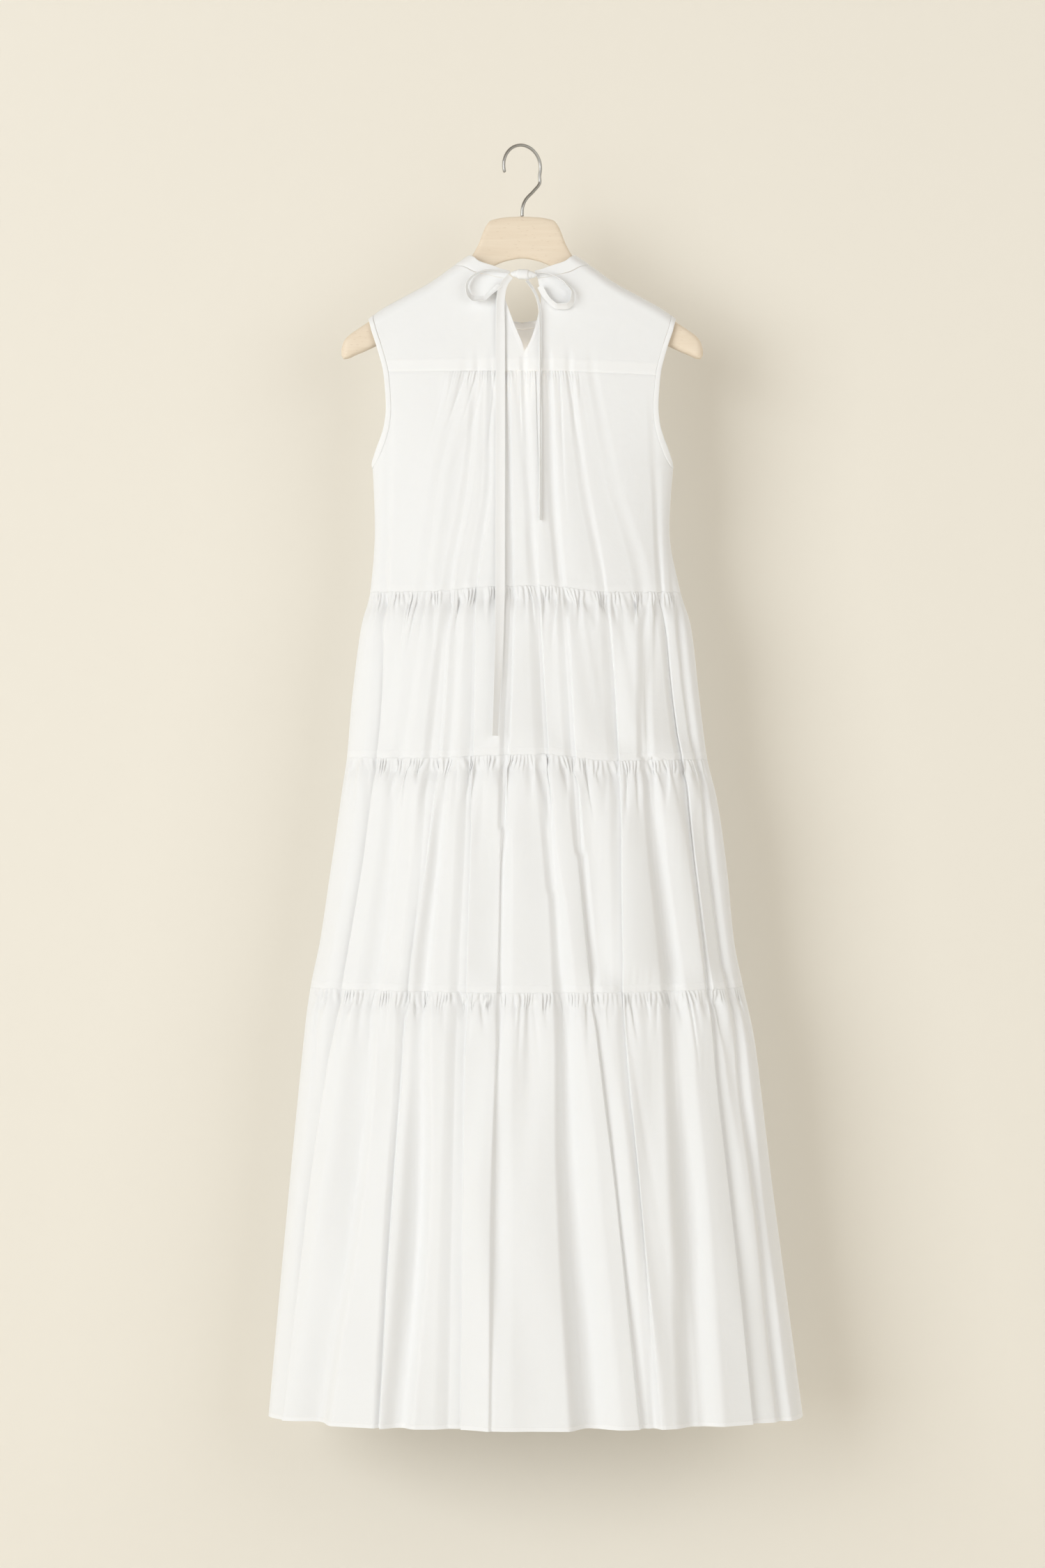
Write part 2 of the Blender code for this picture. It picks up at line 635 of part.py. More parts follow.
def armhole_binding(end, finish):
    """The folded strip round one armhole, as a closed ring over the shoulder and under the arm."""
    places = [armhole_station(end, share) for share in YOKE_ROWS]
    yoke_foot = drop_for(*map(abs, places[-1]))
    for share in ARMHOLE_ROWS[1:]:
        drop = between(yoke_foot, ARMPIT, share)
        places.append((cloth_edge(drop, end), over_for(ARMHOLE_CLOTH(drop), drop)))
    half = []
    for across, over in places:
        drop = min(drop_for(across, over), ARMPIT - SEAM_GAP)
        edge_drop = between(SHOULDER_DROP(177), 363.6, (drop - SHOULDER_DROP(SHOULDER_END)) / 175)
        edge = end * ARMHOLE_EDGE(edge_drop)
        seam = across + end * 2 * SEAM_GAP * max(0, min(1, (ARMPIT - drop) / 10))
        seam_over = over if over < QUARTER_TURN else over_for(seam, drop)
        half.append((edge, over if over < QUARTER_TURN else over_for(edge, edge_drop), seam, seam_over))
    grid = []
    for side, ring in ((BACK, half), (FRONT, half[-2:0:-1])):
        for edge, edge_over, seam, seam_over in ring:
            row = [over_shoulder(edge, edge_over, side), over_shoulder(seam, seam_over, side)]
            if side == BACK and ring.index((edge, edge_over, seam, seam_over)) in (0, len(ring) - 1):
                for point in row:
                    point.y = 0
            grid.append(row)
    name = "armhole_binding_left" if end == LEFT else "armhole_binding_right"
    wall(name, [grid], BINDING, finish, BACK if end == RIGHT else FRONT, closed=True)


def strip(name, table, finish):
    """A strip of the tie along its table, a little in front of the cloth behind it."""
    middles = [Vector((row.across, -DEPTH[BACK](row.drop) - row.away, -row.drop)) for row in table]
    grid = []
    for i, (row, middle) in enumerate(zip(table, middles)):
        ahead = middles[min(i + 1, len(middles) - 1)] - middles[max(i - 1, 0)]
        flat = Vector((-ahead.z, 0, ahead.x)).normalized()
        angle = math.radians(row.turn)
        width = (flat * math.cos(angle) + Vector((0, 1, 0)) * math.sin(angle)) * row.width / 2
        grid.append([middle - width, middle + width])
    wall(name, [grid], RIBBON, finish, BACK)


def lofted(name, rings, finish):
    """A closed solid through rings of points, with flat ends."""
    count = len(rings[0])
    points = [point * MM for ring in rings for point in ring]
    faces = []
    for i in range(len(rings) - 1):
        for j in range(count):
            a, b = i * count + j, i * count + (j + 1) % count
            faces.append((a, b, b + count, a + count))
    last = (len(rings) - 1) * count
    faces.append(tuple(range(count))[::-1])
    faces.append(tuple(range(last, last + count)))
    mesh = bpy.data.meshes.new(name)
    mesh.from_pydata(points, [], faces)
    shape = bmesh.new()
    shape.from_mesh(mesh)
    bmesh.ops.recalc_face_normals(shape, faces=shape.faces)
    shape.to_mesh(mesh)
    shape.free()
    add_object(name, mesh, finish)


def round_ring(centre, first, second, sides, squareness=1):
    """Points round a centre; squareness below 1 fills out the corners."""
    ring = []
    for i in range(sides):
        angle = 2 * math.pi * i / sides
        across, up = math.cos(angle), math.sin(angle)
        across = math.copysign(abs(across) ** squareness, across)
        up = math.copysign(abs(up) ** squareness, up)
        ring.append(centre + first * across + second * up)
    return ring


def hanger_body(finish):
    rings = []
    for end, rows in ((LEFT, HANGER[:0:-1]), (RIGHT, HANGER)):
        for row in rows:
            centre = Vector((end * row.across, 0, -(row.top + row.bottom) / 2))
            tall = Vector((0, 0, (row.bottom - row.top) / 2))
            rings.append(round_ring(centre, tall, Vector((0, row.half_depth, 0)), WOOD_SIDES, 0.75))
    lofted("hanger_body", rings, finish)


def hanger_hook(finish):
    """The wire hook: an arc over the origin, then a neck down to its straight shank above the wood."""
    arc = []
    for i in range(14):
        angle = math.radians(between(197, -22, i / 13))
        arc.append((HOOK_RADIUS * math.cos(angle), HOOK_RADIUS * (1 - math.sin(angle)) - HOOK_WIRE / 2))
    path = [*arc, *[(wire.across, wire.drop) for wire in HOOK_SHANK]]
    turn = math.radians(HOOK_TURN)
    plane = Vector((math.cos(turn), math.sin(turn), 0))
    beside = Vector((-math.sin(turn), math.cos(turn), 0))
    places = [plane * across + Vector((0, 0, -drop)) for across, drop in path]
    rings = []
    for i, place in enumerate(places):
        ahead = (places[min(i + 1, len(places) - 1)] - places[max(i - 1, 0)]).normalized()
        thin = HOOK_WIRE / 2 * (0.55 if i == 0 else 1)
        rings.append(round_ring(place, beside * thin, ahead.cross(beside) * thin, HOOK_SIDES))
    lofted("hanger_hook", rings, finish)


def tie_knot(finish):
    centre = Vector((KNOT.across, -DEPTH[BACK](KNOT.drop) - KNOT.away, -KNOT.drop))
    rings = []
    for share in (-1, -0.8, -0.4, 0, 0.4, 0.8, 1):
        fat = math.sqrt(max(0.12, 1 - share * share))
        place = centre + Vector((share * KNOT.width / 2, 0, 0))
        tall, deep = Vector((0, 0, KNOT_HALF_HEIGHT * fat)), Vector((0, KNOT_HALF_DEPTH * fat, 0))
        rings.append(round_ring(place, tall, deep, 8))
    lofted("tie_knot", rings, finish)


def main():
    for old in list(bpy.data.objects):
        bpy.data.objects.remove(old)
    bpy.context.scene.collection.objects.link(bpy.data.objects.new("dress_on_hanger", None))
    cotton = material("white_cotton", (0.9, 0.89, 0.87), 0.75)
    wood = material("pale_wood", (0.83, 0.7, 0.53), 0.5)
    steel = material("satin_steel", (0.7, 0.7, 0.69), 0.3, 1)
    hanger_body(wood)
    hanger_hook(steel)
    back_yoke(cotton)
    back_bodice(cotton)
    front_bodice(cotton)
    neckband(cotton)
    for end in (LEFT, RIGHT):
        armhole_binding(end, cotton)
    tie_knot(cotton)
    strip("tie_loop_left", LOOP_LEFT, cotton)
    strip("tie_loop_right", LOOP_RIGHT, cotton)
    strip("tie_tail_left", TAIL_LEFT, cotton)
    strip("tie_tail_right", TAIL_RIGHT, cotton)
    for tier in TIERS:
        for side in (BACK, FRONT):
            tier_panel(tier, side, cotton)


main()
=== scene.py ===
"""A sleeveless tiered maxi dress of white cotton poplin, tied at the back of the neck, on its wooden hanger.

The origin is the inside top of the hanger's hook, X runs to the right as the dress is seen from behind, -Y faces
the viewer and Z is up. The garment's own tables are in millimetres, with heights as drops below the hook.
"""
import math
from collections import namedtuple

import bmesh
import bpy
import numpy as np
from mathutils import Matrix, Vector


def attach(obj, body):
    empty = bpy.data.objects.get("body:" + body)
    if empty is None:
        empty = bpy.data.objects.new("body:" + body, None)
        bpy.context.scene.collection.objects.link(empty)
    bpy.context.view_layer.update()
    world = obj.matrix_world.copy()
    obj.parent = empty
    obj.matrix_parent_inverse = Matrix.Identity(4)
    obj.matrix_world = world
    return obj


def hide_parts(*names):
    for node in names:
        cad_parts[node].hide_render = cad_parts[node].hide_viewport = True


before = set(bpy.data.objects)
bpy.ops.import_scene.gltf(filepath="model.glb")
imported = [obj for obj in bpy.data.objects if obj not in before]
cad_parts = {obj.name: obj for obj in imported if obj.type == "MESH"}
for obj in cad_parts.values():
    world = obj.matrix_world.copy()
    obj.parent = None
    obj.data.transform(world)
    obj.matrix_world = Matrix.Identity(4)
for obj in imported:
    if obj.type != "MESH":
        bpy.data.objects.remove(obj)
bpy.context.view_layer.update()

MM = 0.001
BACK, FRONT = -1, 1
LEFT, RIGHT = -1, 1

POPLIN = 0.4  # the thickness of one layer of the cloth
SEAM_GAP = 0.15  # between pieces that are sewn edge to edge
SIDE_GAP = 0.5
SHOULDER_ROUND = 14
QUARTER_TURN = SHOULDER_ROUND * math.pi / 2

YOKE, WAIST, HIP, KNEE, HEM = 260, 511, 701, 965, 1456
ARMPIT = 370
SLIT_END = 240


def rows_of(kind, rows):
    return [kind(*row) for row in rows]


# The body's outline, as seen from behind and from the side.
Section = namedtuple("Section", "drop left right back front")
SECTIONS = rows_of(Section, (
    (90, -230, 230, 17, 16), (200, -226, 226, 20, 18), (258, -206, 206, 24, 22), (310, -187, 188, 28, 26),
    (370, -171.6, 173.2, 32, 29), (440, -169, 169, 36, 33), (509, -174, 181, 40, 38), (552, -184, 193, 48, 45),
    (632, -195, 203, 55, 51), (701, -201, 212, 59, 55), (752, -208, 223, 66, 61), (832, -220, 235, 71, 66),
    (912, -232, 243, 75, 70), (966, -243, 254, 79, 74), (1032, -251, 267, 88, 82), (1192, -267, 287, 98, 92),
    (1456, -291, 322, 110, 104),
))

# The line where the cloth lies over the hanger's arms.
Shoulder = namedtuple("Shoulder", "across drop")
SHOULDER_LINE = rows_of(Shoulder, (
    (0, 90), (30, 101), (60.5, 125.2), (79, 137.6), (106, 156.6), (134, 172), (161, 187), (178, 200),
))

# Where the armhole's binding ends, and where the cloth inside it ends.
Armhole = namedtuple("Armhole", "drop edge cloth")
ARMHOLE = rows_of(Armhole, (
    (199, 176.5, 170.3), (211, 173.2, 167), (228, 167.6, 161.4), (244, 162.8, 156.7), (260, 159, 152.9),
    (280, 157, 150.9), (300, 156, 149.9), (320, 158, 151.4), (334, 162, 154.7), (346, 166.8, 158.8),
    (356, 170.2, 163), (363.6, 172.4, 167.5), (370, 172.4, 172.4),
))

# Half of the neckband, from its end beside the slit over the shoulder to the middle of the front.
Neckband = namedtuple("Neckband", "side inner inner_drop outer outer_drop")
NECKBAND = rows_of(Neckband, (
    (BACK, 14, 145, 17.6, 153.8), (BACK, 24, 142.4, 28, 152.2), (BACK, 40, 136.8, 43.5, 148.4),
    (BACK, 53, 130.6, 62, 142), (BACK, 60.5, 125.2, 76.4, 136), (FRONT, 58.5, 147, 73, 156),
    (FRONT, 47, 174.5, 57.5, 184.5), (FRONT, 26, 194, 31, 203), (FRONT, 0, 199.8, 0, 207.8),
))

# The slit below the tie hangs open.
Slit = namedtuple("Slit", "drop left right")
SLIT = rows_of(Slit, (
    (153.8, -17.6, 17.6), (165.5, -19, 20), (174.5, -19.5, 21.5), (187.5, -16, 19.5), (202.5, -11, 16.5),
    (221.5, -4, 11), (233.5, 0.5, 6), (SLIT_END, 2.2, 2.6),
))
SLIT_FOOT = 2.4
SLIT_HEM = 4
BELOW_SLIT, YOKE_ROWS_BEND = 0.8, 0.824  # shares of the way down the yoke

# How each seam sways across the dress.
Sway = namedtuple("Sway", "across yoke waist hip knee hem")
SEAM_SWAY = rows_of(Sway, (
    (-300, 0, -1, -2, -1, 0), (-110, 0, 1, 1, 1, 0), (-40, -0.5, -4, -2, 2, 0), (25, -0.5, -5, -3, 2, 0),
    (100, 2, 2, 4, 2, 0), (170, 4, 1, 3, 1, 0), (320, 4, -4, 0, -3, 0),
))

# Each long fold runs down the back at these drops. Its line is where one panel of cloth lies over the next: the side
# with the short reach is the panel on top, and the other side rises gently from behind it, past a flat floor.
LEVELS = (260, 384, 511, 702, 967, 1197, 1456)
Fold = namedtuple("Fold", "across depth left right floor")
SOFT = (0, 0, 0, 0, 0, 0, 0)
SHARP_REACH = (3.6, 6.5)  # a flank is sharp below the first reach and soft above the second
TUCK, TUCK_DEPTH = 1.1, 5  # how far a sharp flank slides under the panel on top, and the depth from which it does so
FOLDS = (
    Fold((-150, -153, -157, -169, -209, -246, -276), (0, 1.2, 2.6, 7, 9, 9, 8), (8, 8, 10, 14, 18, 24, 26),
         (8, 8, 6, 4, 4, 4, 4), SOFT),
    Fold((-63, -95, -111, -138, -170, -197, -236), (1, 1.2, 1.3, 3, 8, 16, 20), (10, 12, 14, 14, 22, 34, 40),
         (10, 12, 12, 12, 16, 22, 26), SOFT),
    Fold((-51, -62, -83, -97, -132, -149, -163), (2, 1.8, 2.6, 5, 5, 6, 7), (7, 8, 10, 9, 6, 5, 5),
         (7, 8, 6, 6, 3.5, 3.5, 4), (0, 0, 0, 8, 2, 1, 1)),
    Fold((-44, -49, -69, -83, -112, -120, -141), (1, 0.6, 1.3, 3, 7, 13, 16), (6, 8, 10, 10, 14, 20, 22),
         (6, 8, 8, 8, 13, 20, 22), SOFT),
    Fold((-36, -38, -54, -58, -66, -70, -73), (2, 1.8, 2.6, 5, 5, 6, 7), (6, 7, 8, 8, 7, 9, 12),
         (6, 6, 4, 3.2, 3.5, 3.5, 3.5), (0, 0, 2, 6, 11, 14, 16)),
    Fold((-20, -16, -12, -17, -24, -30, -33), (2, 1.8, 2.6, 5, 5, 5, 6), (5, 6, 5, 4.6, 5.4, 5.8, 6),
         (5, 6, 4, 3.5, 12, 20, 26), (0, 0, 3, 5, 2, 1, 0)),
    Fold((2, 8, 16, 27, 45, 55, 74), (3, 1.8, 2.6, 5, 8, 16, 20), (6, 8, 9, 9, 12, 18, 24),
         (6, 8, 5, 4, 18, 36, 42), (0, 0, 2, 5, 0, 0, 0)),
    Fold((30, 34, 46, 58, 82, 110, 137), (3, 2.4, 2.6, 4.5, 4.5, 5.5, 6), (6, 8, 8, 6, 5, 5, 5.5),
         (6, 8, 6, 4, 10, 18, 24), (0, 0, 2, 5, 0, 2, 3)),
    Fold((54, 70, 93, 107, 111, 130, 152), (2, 1.2, 2, 4, 4, 5, 6), (6, 8, 10, 12, 9, 8, 8),
         (6, 7, 5, 3.5, 3.5, 4, 6), SOFT),
    Fold((80, 104, 137, 142, 170, 188, 203), (1, 0.6, 2, 4, 8, 14, 17), (8, 10, 12, 10, 16, 26, 30),
         (8, 10, 12, 10, 16, 24, 28), (0, 0, 0, 4, 2, 2, 3)),
    Fold((146, 153, 159, 180, 213, 240, 266), (0, 1.2, 2.6, 5, 6, 7, 8), (8, 8, 8, 8, 6, 5, 5),
         (8, 8, 5, 4, 6, 18, 24), SOFT),
    Fold((165, 167, 174, 200, 238, 268, 297), (0, 0, 2, 4, 5, 6, 6), (8, 8, 8, 7, 9, 12, 12),
         (8, 8, 8, 8, 8, 9, 10), SOFT),
)
FRONT_DEPTHS = (0.8, 1, 0.7, 0.9)  # the front repeats the folds, mirrored, with these shares of the depth

# A tier of gathered cloth: its seams, the strip that its two rows of gathering threads hold, and its gathers.
Tier = namedtuple("Tier", "name top bottom top_seam bottom_seam gathers longest seed")
TIERS = rows_of(Tier, (
    ("tier_1", WAIST, HIP, "waist", "hip", 56, 70, 11),
    ("tier_2", HIP, KNEE, "hip", "knee", 60, 85, 23),
    ("tier_3", KNEE, HEM, "knee", "hem", 62, 110, 37),
))
GATHER_PUFF = 5
STRIP = 15
CRIMP_PITCH, CRIMP_DEPTH = 4.6, 1.05
TIER_COLUMNS = {BACK: 600, FRONT: 420}
GATHER_SLANT, GATHER_LEAN = 0.14, (0.3, 1.2)  # how far a gather slants as it falls, and leans over as it deepens
LONG_GATHERS = 12
SEAM_HOLD = 34  # over this height above a tier's lower seam the cloth is held flat
TURNED_UP = 8  # the seam allowance that lies behind the cloth above each seam
YOKE_TURNED_UP = (13.3, 14.3)  # and above the yoke's seam, from its full effect to none
SEAM_DENT, YOKE_DENT, DENT_HEIGHT = 0.55, 0.7, 1.2  # how deep the cloth sinks beside a seam, and over what height
HEM_ROLL = 4.6
HEM_STITCH_ROW = 3.4  # the hem's stitches run this many rows of points above its edge

YOKE_GATHERED = (-88, 62)
YOKE_CRIMP_PITCH = 3.1
BODICE_COLUMNS = (110, 44, 24, 24, 40, 58, 66, 60, 56, 90)  # between its edges and the folds, from left to right
SHOULDER_END = 170.3
# The binding's outer edge starts this far across the shoulder and ends at this drop under the arm.
BINDING_SHOULDER, BINDING_FOOT, ARMHOLE_FALL = 177, 363.6, 175
BINDING_THICK, RIBBON_THICK = 1.5, 0.9

# The hanger is the same on both sides of its hook.
Wood = namedtuple("Wood", "across top bottom half_depth")
HANGER_ARM, HANGER_END = 200, 7.4  # how far its arms run before their ends round off, and over what length
HANGER = rows_of(Wood, (
    (0, 80.4, 128.4, 6), (16, 81, 130.8, 6), (36, 84.8, 138.8, 6.2), (42, 92, 142.8, 6.4),
    (50.4, 112.6, 148.9, 6.6), (60.2, 128.6, 155.7, 6.8), (79, 140.6, 172, 7.1), (106, 159, 188.3, 7.6),
    (134, 174.4, 207, 8.2), (161, 189.4, 225.3, 8.8), (178, 202.4, 233.8, 9.1), (191.6, 211.5, 239.6, 9.2),
    (199.6, 217.5, 243.2, 8.8), (204.8, 224, 243.8, 6.6), (207.4, 232, 240, 3),
))
HOOK_RADIUS = 24.5
HOOK_WIRE = 3.7
HOOK_TURN = 30
Wire = namedtuple("Wire", "across drop")
HOOK_SHANK = (Wire(23.8, 38), Wire(15, 50), Wire(5, 60), Wire(1, 68), Wire(0, 74), Wire(0, 80))

# The tie's ribbons: their middle line, how far in front of the yoke it runs, the width, and the turn from flat (0)
# to edge-on (90).
Ribbon = namedtuple("Ribbon", "across drop away width turn")
LOOP_LEFT = rows_of(Ribbon, (
    (-13.7, 147.1, 5.4, 9, 80), (-26, 146, 5.4, 9.5, 85), (-40, 145.3, 5.9, 10, 85), (-52, 148.6, 6.5, 10, 85),
    (-60, 155.2, 6.8, 10, 80), (-63.5, 164.2, 7, 10, 75), (-61, 173.1, 7, 10, 60), (-54, 178.5, 6.8, 10, 50),
    (-45, 178.3, 6.4, 10, 55), (-37, 172.6, 5.8, 10, 60), (-30, 166.3, 5.4, 9.5, 50), (-25.5, 162.6, 5.4, 9, 45),
))
LOOP_RIGHT = rows_of(Ribbon, (
    (17.1, 147.1, 5.4, 9, 80), (30, 149, 5.4, 9.5, 85), (41, 153.8, 5.9, 10, 85), (51, 162, 6.5, 10, 80),
    (57.5, 171.1, 6.8, 10, 70), (57, 180.1, 7, 10, 60), (50, 186, 6.8, 10, 50), (41, 186.3, 6.4, 10, 55),
    (32, 180.5, 5.6, 10, 60), (25, 171.7, 5.4, 9.5, 50), (20.5, 163.1, 5.4, 9, 45),
))
TAIL_LEFT = rows_of(Ribbon, (
    (-13.6, 151.8, 7.6, 8, 30), (-20, 159.9, 8, 9, 25), (-23.5, 168.8, 7, 10, 20), (-25, 185.6, 4.6, 10, 15),
    (-25, 218.1, 3.4, 11, 8), (-25, 273.3, 3, 11, 5), (-25, 343.3, 3, 11, 4), (-25, 423.2, 3.4, 11, 5),
    (-25, 492.8, 4.4, 11, 8), (-25.5, 542.6, 8, 11, 18), (-27, 592.1, 9.4, 11, 32), (-29, 631.6, 8.6, 11, 48),
    (-31, 676.9, 8, 11, 55),
))
TAIL_RIGHT = rows_of(Ribbon, (
    (5.2, 157, 6.4, 8, 60), (12, 166.5, 6, 8, 64), (17.5, 178.4, 5.2, 8, 68), (20, 193.3, 4.8, 7.4, 72),
    (20.5, 223.2, 4.4, 7, 74), (20.5, 273.4, 4.2, 7, 75), (20.4, 333.4, 4.2, 7, 75), (20.4, 388.4, 4.4, 7, 75),
    (20.4, 431.2, 4.6, 7, 74),
))
KNOT = Ribbon(1.7, 150, 6.6, 30, 0)
KNOT_HALF_HEIGHT, KNOT_HALF_DEPTH = 5.6, 5


# Curves and the body's surface

def curve_through(places, values):
    """A smooth function through the values that never swings past them."""
    places, values = np.array(places, float), np.array(values, float)
    steps = np.diff(places)
    slopes = np.diff(values) / steps
    before, after = slopes[:-1], slopes[1:]
    same_way = before * after > 0
    bends = np.where(same_way, 2 * before * after / np.where(same_way, before + after, 1), 0)
    tangents = np.concatenate([slopes[:1], bends, slopes[-1:]])

    def value(place):
        place = np.clip(place, places[0], places[-1])
        i = np.clip(np.searchsorted(places, place, side="right") - 1, 0, len(steps) - 1)
        t = (place - places[i]) / steps[i]
        start = (1 + 2 * t) * (1 - t) ** 2 * values[i] + t * (1 - t) ** 2 * steps[i] * tangents[i]
        end = t * t * (3 - 2 * t) * values[i + 1] + t * t * (t - 1) * steps[i] * tangents[i + 1]
        return start + end

    return value


def column(table, place, value):
    """The curve of one named column of a table over another."""
    return curve_through([getattr(row, place) for row in table], [getattr(row, value) for row in table])


LEFT_SIDE = column(SECTIONS, "drop", "left")
RIGHT_SIDE = column(SECTIONS, "drop", "right")
DEPTH = {BACK: column(SECTIONS, "drop", "back"), FRONT: column(SECTIONS, "drop", "front")}
SHOULDER_DROP = column(SHOULDER_LINE, "across", "drop")
ARMHOLE_EDGE = column(ARMHOLE, "drop", "edge")
ARMHOLE_CLOTH = column(ARMHOLE, "drop", "cloth")
SLIT_SIDE = {LEFT: column(SLIT, "drop", "left"), RIGHT: column(SLIT, "drop", "right")}
SWAY = {seam: column(SEAM_SWAY, "across", seam) for seam in Sway._fields[1:]}
FOLD_CURVES = [Fold(*(curve_through(LEVELS, values) for values in fold)) for fold in FOLDS]


def between(a, b, share):
    return a + (b - a) * share


def ramp(value, low, high):
    """0 below low, 1 above high, and smooth between them."""
    share = np.clip((value - low) / (high - low), 0, 1)
    return share * share * (3 - 2 * share)


def ripple(place, seed, step):
    """A smooth wandering value between about -1 and 1, that changes over about a step."""
    waves = np.random.default_rng(seed)
    total = 0
    for _ in range(5):
        length = step * waves.uniform(0.7, 2.2)
        total = total + np.sin(2 * math.pi * place / length / 1.6 + waves.uniform(0, 2 * math.pi))
    return total / 2.6


def seam_drop(seam, across):
    level = {"yoke": YOKE, "waist": WAIST, "hip": HIP, "knee": KNEE, "hem": HEM}[seam]
    scallops = 0.7 * ripple(across, 5, 6) if seam in ("waist", "hip", "knee") else 0
    return level + SWAY[seam](across) + scallops


def turn_at(across, drop):
    """The angle round the body, 0 at the left side seam and pi at the right, of a place across it."""
    left, right = LEFT_SIDE(drop), RIGHT_SIDE(drop)
    return np.arccos(np.clip((left + right - 2 * across) / (right - left), -1, 1))


def across_at(turn, drop):
    left, right = LEFT_SIDE(drop), RIGHT_SIDE(drop)
    return (left + right) / 2 - (right - left) / 2 * np.cos(turn)


Valley = namedtuple("Valley", "turn depth left right floor")


def valleys(drop, side):
    """The folds' lines at this drop, from left to right, between the two side seams."""
    found = []
    for i, fold in enumerate(FOLD_CURVES):
        turn = turn_at(fold.across(drop), drop)
        depth, left, right = fold.depth(drop), fold.left(drop), fold.right(drop)
        if side == FRONT:
            turn, left, right = math.pi - turn, right, left
            depth = depth * FRONT_DEPTHS[i % len(FRONT_DEPTHS)]
        found.append(Valley(turn, depth, left, right, fold.floor(drop)))
    if side == FRONT:
        found.reverse()
    flat = np.zeros_like(found[0].turn)
    seam = Valley(flat, flat, flat + 8, flat + 8, flat)
    return [seam, *found, seam._replace(turn=flat + math.pi)]


def dip(share):
    """A soft valley's profile: 1 at its bottom, and 0 from the top of its flank on."""
    return np.where(share < 1, (1 + np.cos(math.pi * np.clip(share, 0, 1))) / 2, 0)


def fold_at(turn, drop, side):
    """How far the folds push the cloth out, and how far round, at places on the body."""
    half = (RIGHT_SIDE(drop) - LEFT_SIDE(drop)) / 2
    arc = np.hypot(half * np.sin(turn), DEPTH[side](drop) * np.cos(turn))
    push, shift = 0, 0
    for valley in valleys(drop, side)[1:-1]:
        away = (turn - valley.turn) * arc
        sharp_left, sharp_right = 1 - ramp(valley.left, *SHARP_REACH), 1 - ramp(valley.right, *SHARP_REACH)
        reach = np.where(away < 0, valley.left, valley.right)
        gentle = np.where(away < 0, valley.left >= valley.right, valley.right > valley.left)
        share = np.clip((np.abs(away) - valley.floor * gentle) / reach, 0, 1)
        rising = np.maximum(sharp_left, sharp_right) * gentle
        low = between(dip(share), (1 - share) ** 1.7, rising)
        push = push - valley.depth * low
        under = TUCK * (valley.right * sharp_right - valley.left * sharp_left)
        under = under * np.clip(valley.depth / TUCK_DEPTH, 0, 1)
        shift = shift + under * low
    at_sides = np.clip(2.5 * np.sin(turn), 0, 1)
    return push * at_sides, shift * at_sides


def body_points(across, drop, side, swell=1, out=0, folded=1, along_shift=0):
    """Points of the cloth in millimetres, pushed out by the folds and by out."""
    turn = turn_at(across, drop)
    half = (RIGHT_SIDE(drop) - LEFT_SIDE(drop)) / 2
    depth = DEPTH[side](drop)
    push, shift = fold_at(turn, drop, side)
    outward = np.stack([-np.cos(turn) / half, side * np.sin(turn) / depth], -1)
    outward /= np.linalg.norm(outward, axis=-1, keepdims=True)
    push = push * folded + out
    shift = shift * folded + along_shift
    x = across + outward[..., 0] * push + side * outward[..., 1] * shift
    y = side * (depth * np.sin(turn) * swell + SIDE_GAP / 2) + outward[..., 1] * push - side * outward[..., 0] * shift
    return np.stack([x, y, -drop + 0 * x], -1)


def drop_for(across, over):
    """The drop at this arc length from the shoulder line."""
    top = SHOULDER_DROP(np.abs(across))
    rounding = SHOULDER_ROUND * (1 - np.cos(np.clip(over, 0, QUARTER_TURN) / SHOULDER_ROUND))
    return top + rounding + np.maximum(0, over - QUARTER_TURN)


def over_for(across, drop):
    """The arc length from the shoulder line down to this drop."""
    fall = np.maximum(0, drop - SHOULDER_DROP(np.abs(across)))
    rounding = SHOULDER_ROUND * np.arccos(1 - np.clip(fall / SHOULDER_ROUND, 0, 1))
    return rounding + np.maximum(0, fall - SHOULDER_ROUND)


def over_shoulder(across, over, side, out=0):
    """Points of the cloth at an arc length over from the shoulder line, down the back or the front."""
    drop = drop_for(across, over)
    folded = dip((YOKE - np.minimum(drop, YOKE)) / 34)
    angle = np.clip(over / SHOULDER_ROUND, 0, math.pi / 2)
    return body_points(across, drop, side, np.sin(angle), out, folded)


def cloth_edge(drop, end):
    """How far across the cloth reaches at this drop: to its armhole binding, or lower down to the side seam."""
    side = RIGHT_SIDE(drop) if end == RIGHT else LEFT_SIDE(drop)
    return np.where(drop >= ARMPIT - 0.01, side, end * ARMHOLE_CLOTH(drop))


# Meshes

def in_scene(name, data):
    made = bpy.data.objects.new(name, data)
    bpy.context.scene.collection.objects.link(made)
    return made


def grid_faces(rows, columns, first=0, closed=False):
    """Quads between the rows of a grid of points, facing the side from which the columns run left to right."""
    i = np.arange(rows - 1 + closed)[:, None]
    j = np.arange(columns - 1)[None, :]
    a, b = first + i * columns + j, first + (i + 1) % rows * columns + j
    return np.stack([a, b, b + 1, a + 1], -1).reshape(-1, 4)


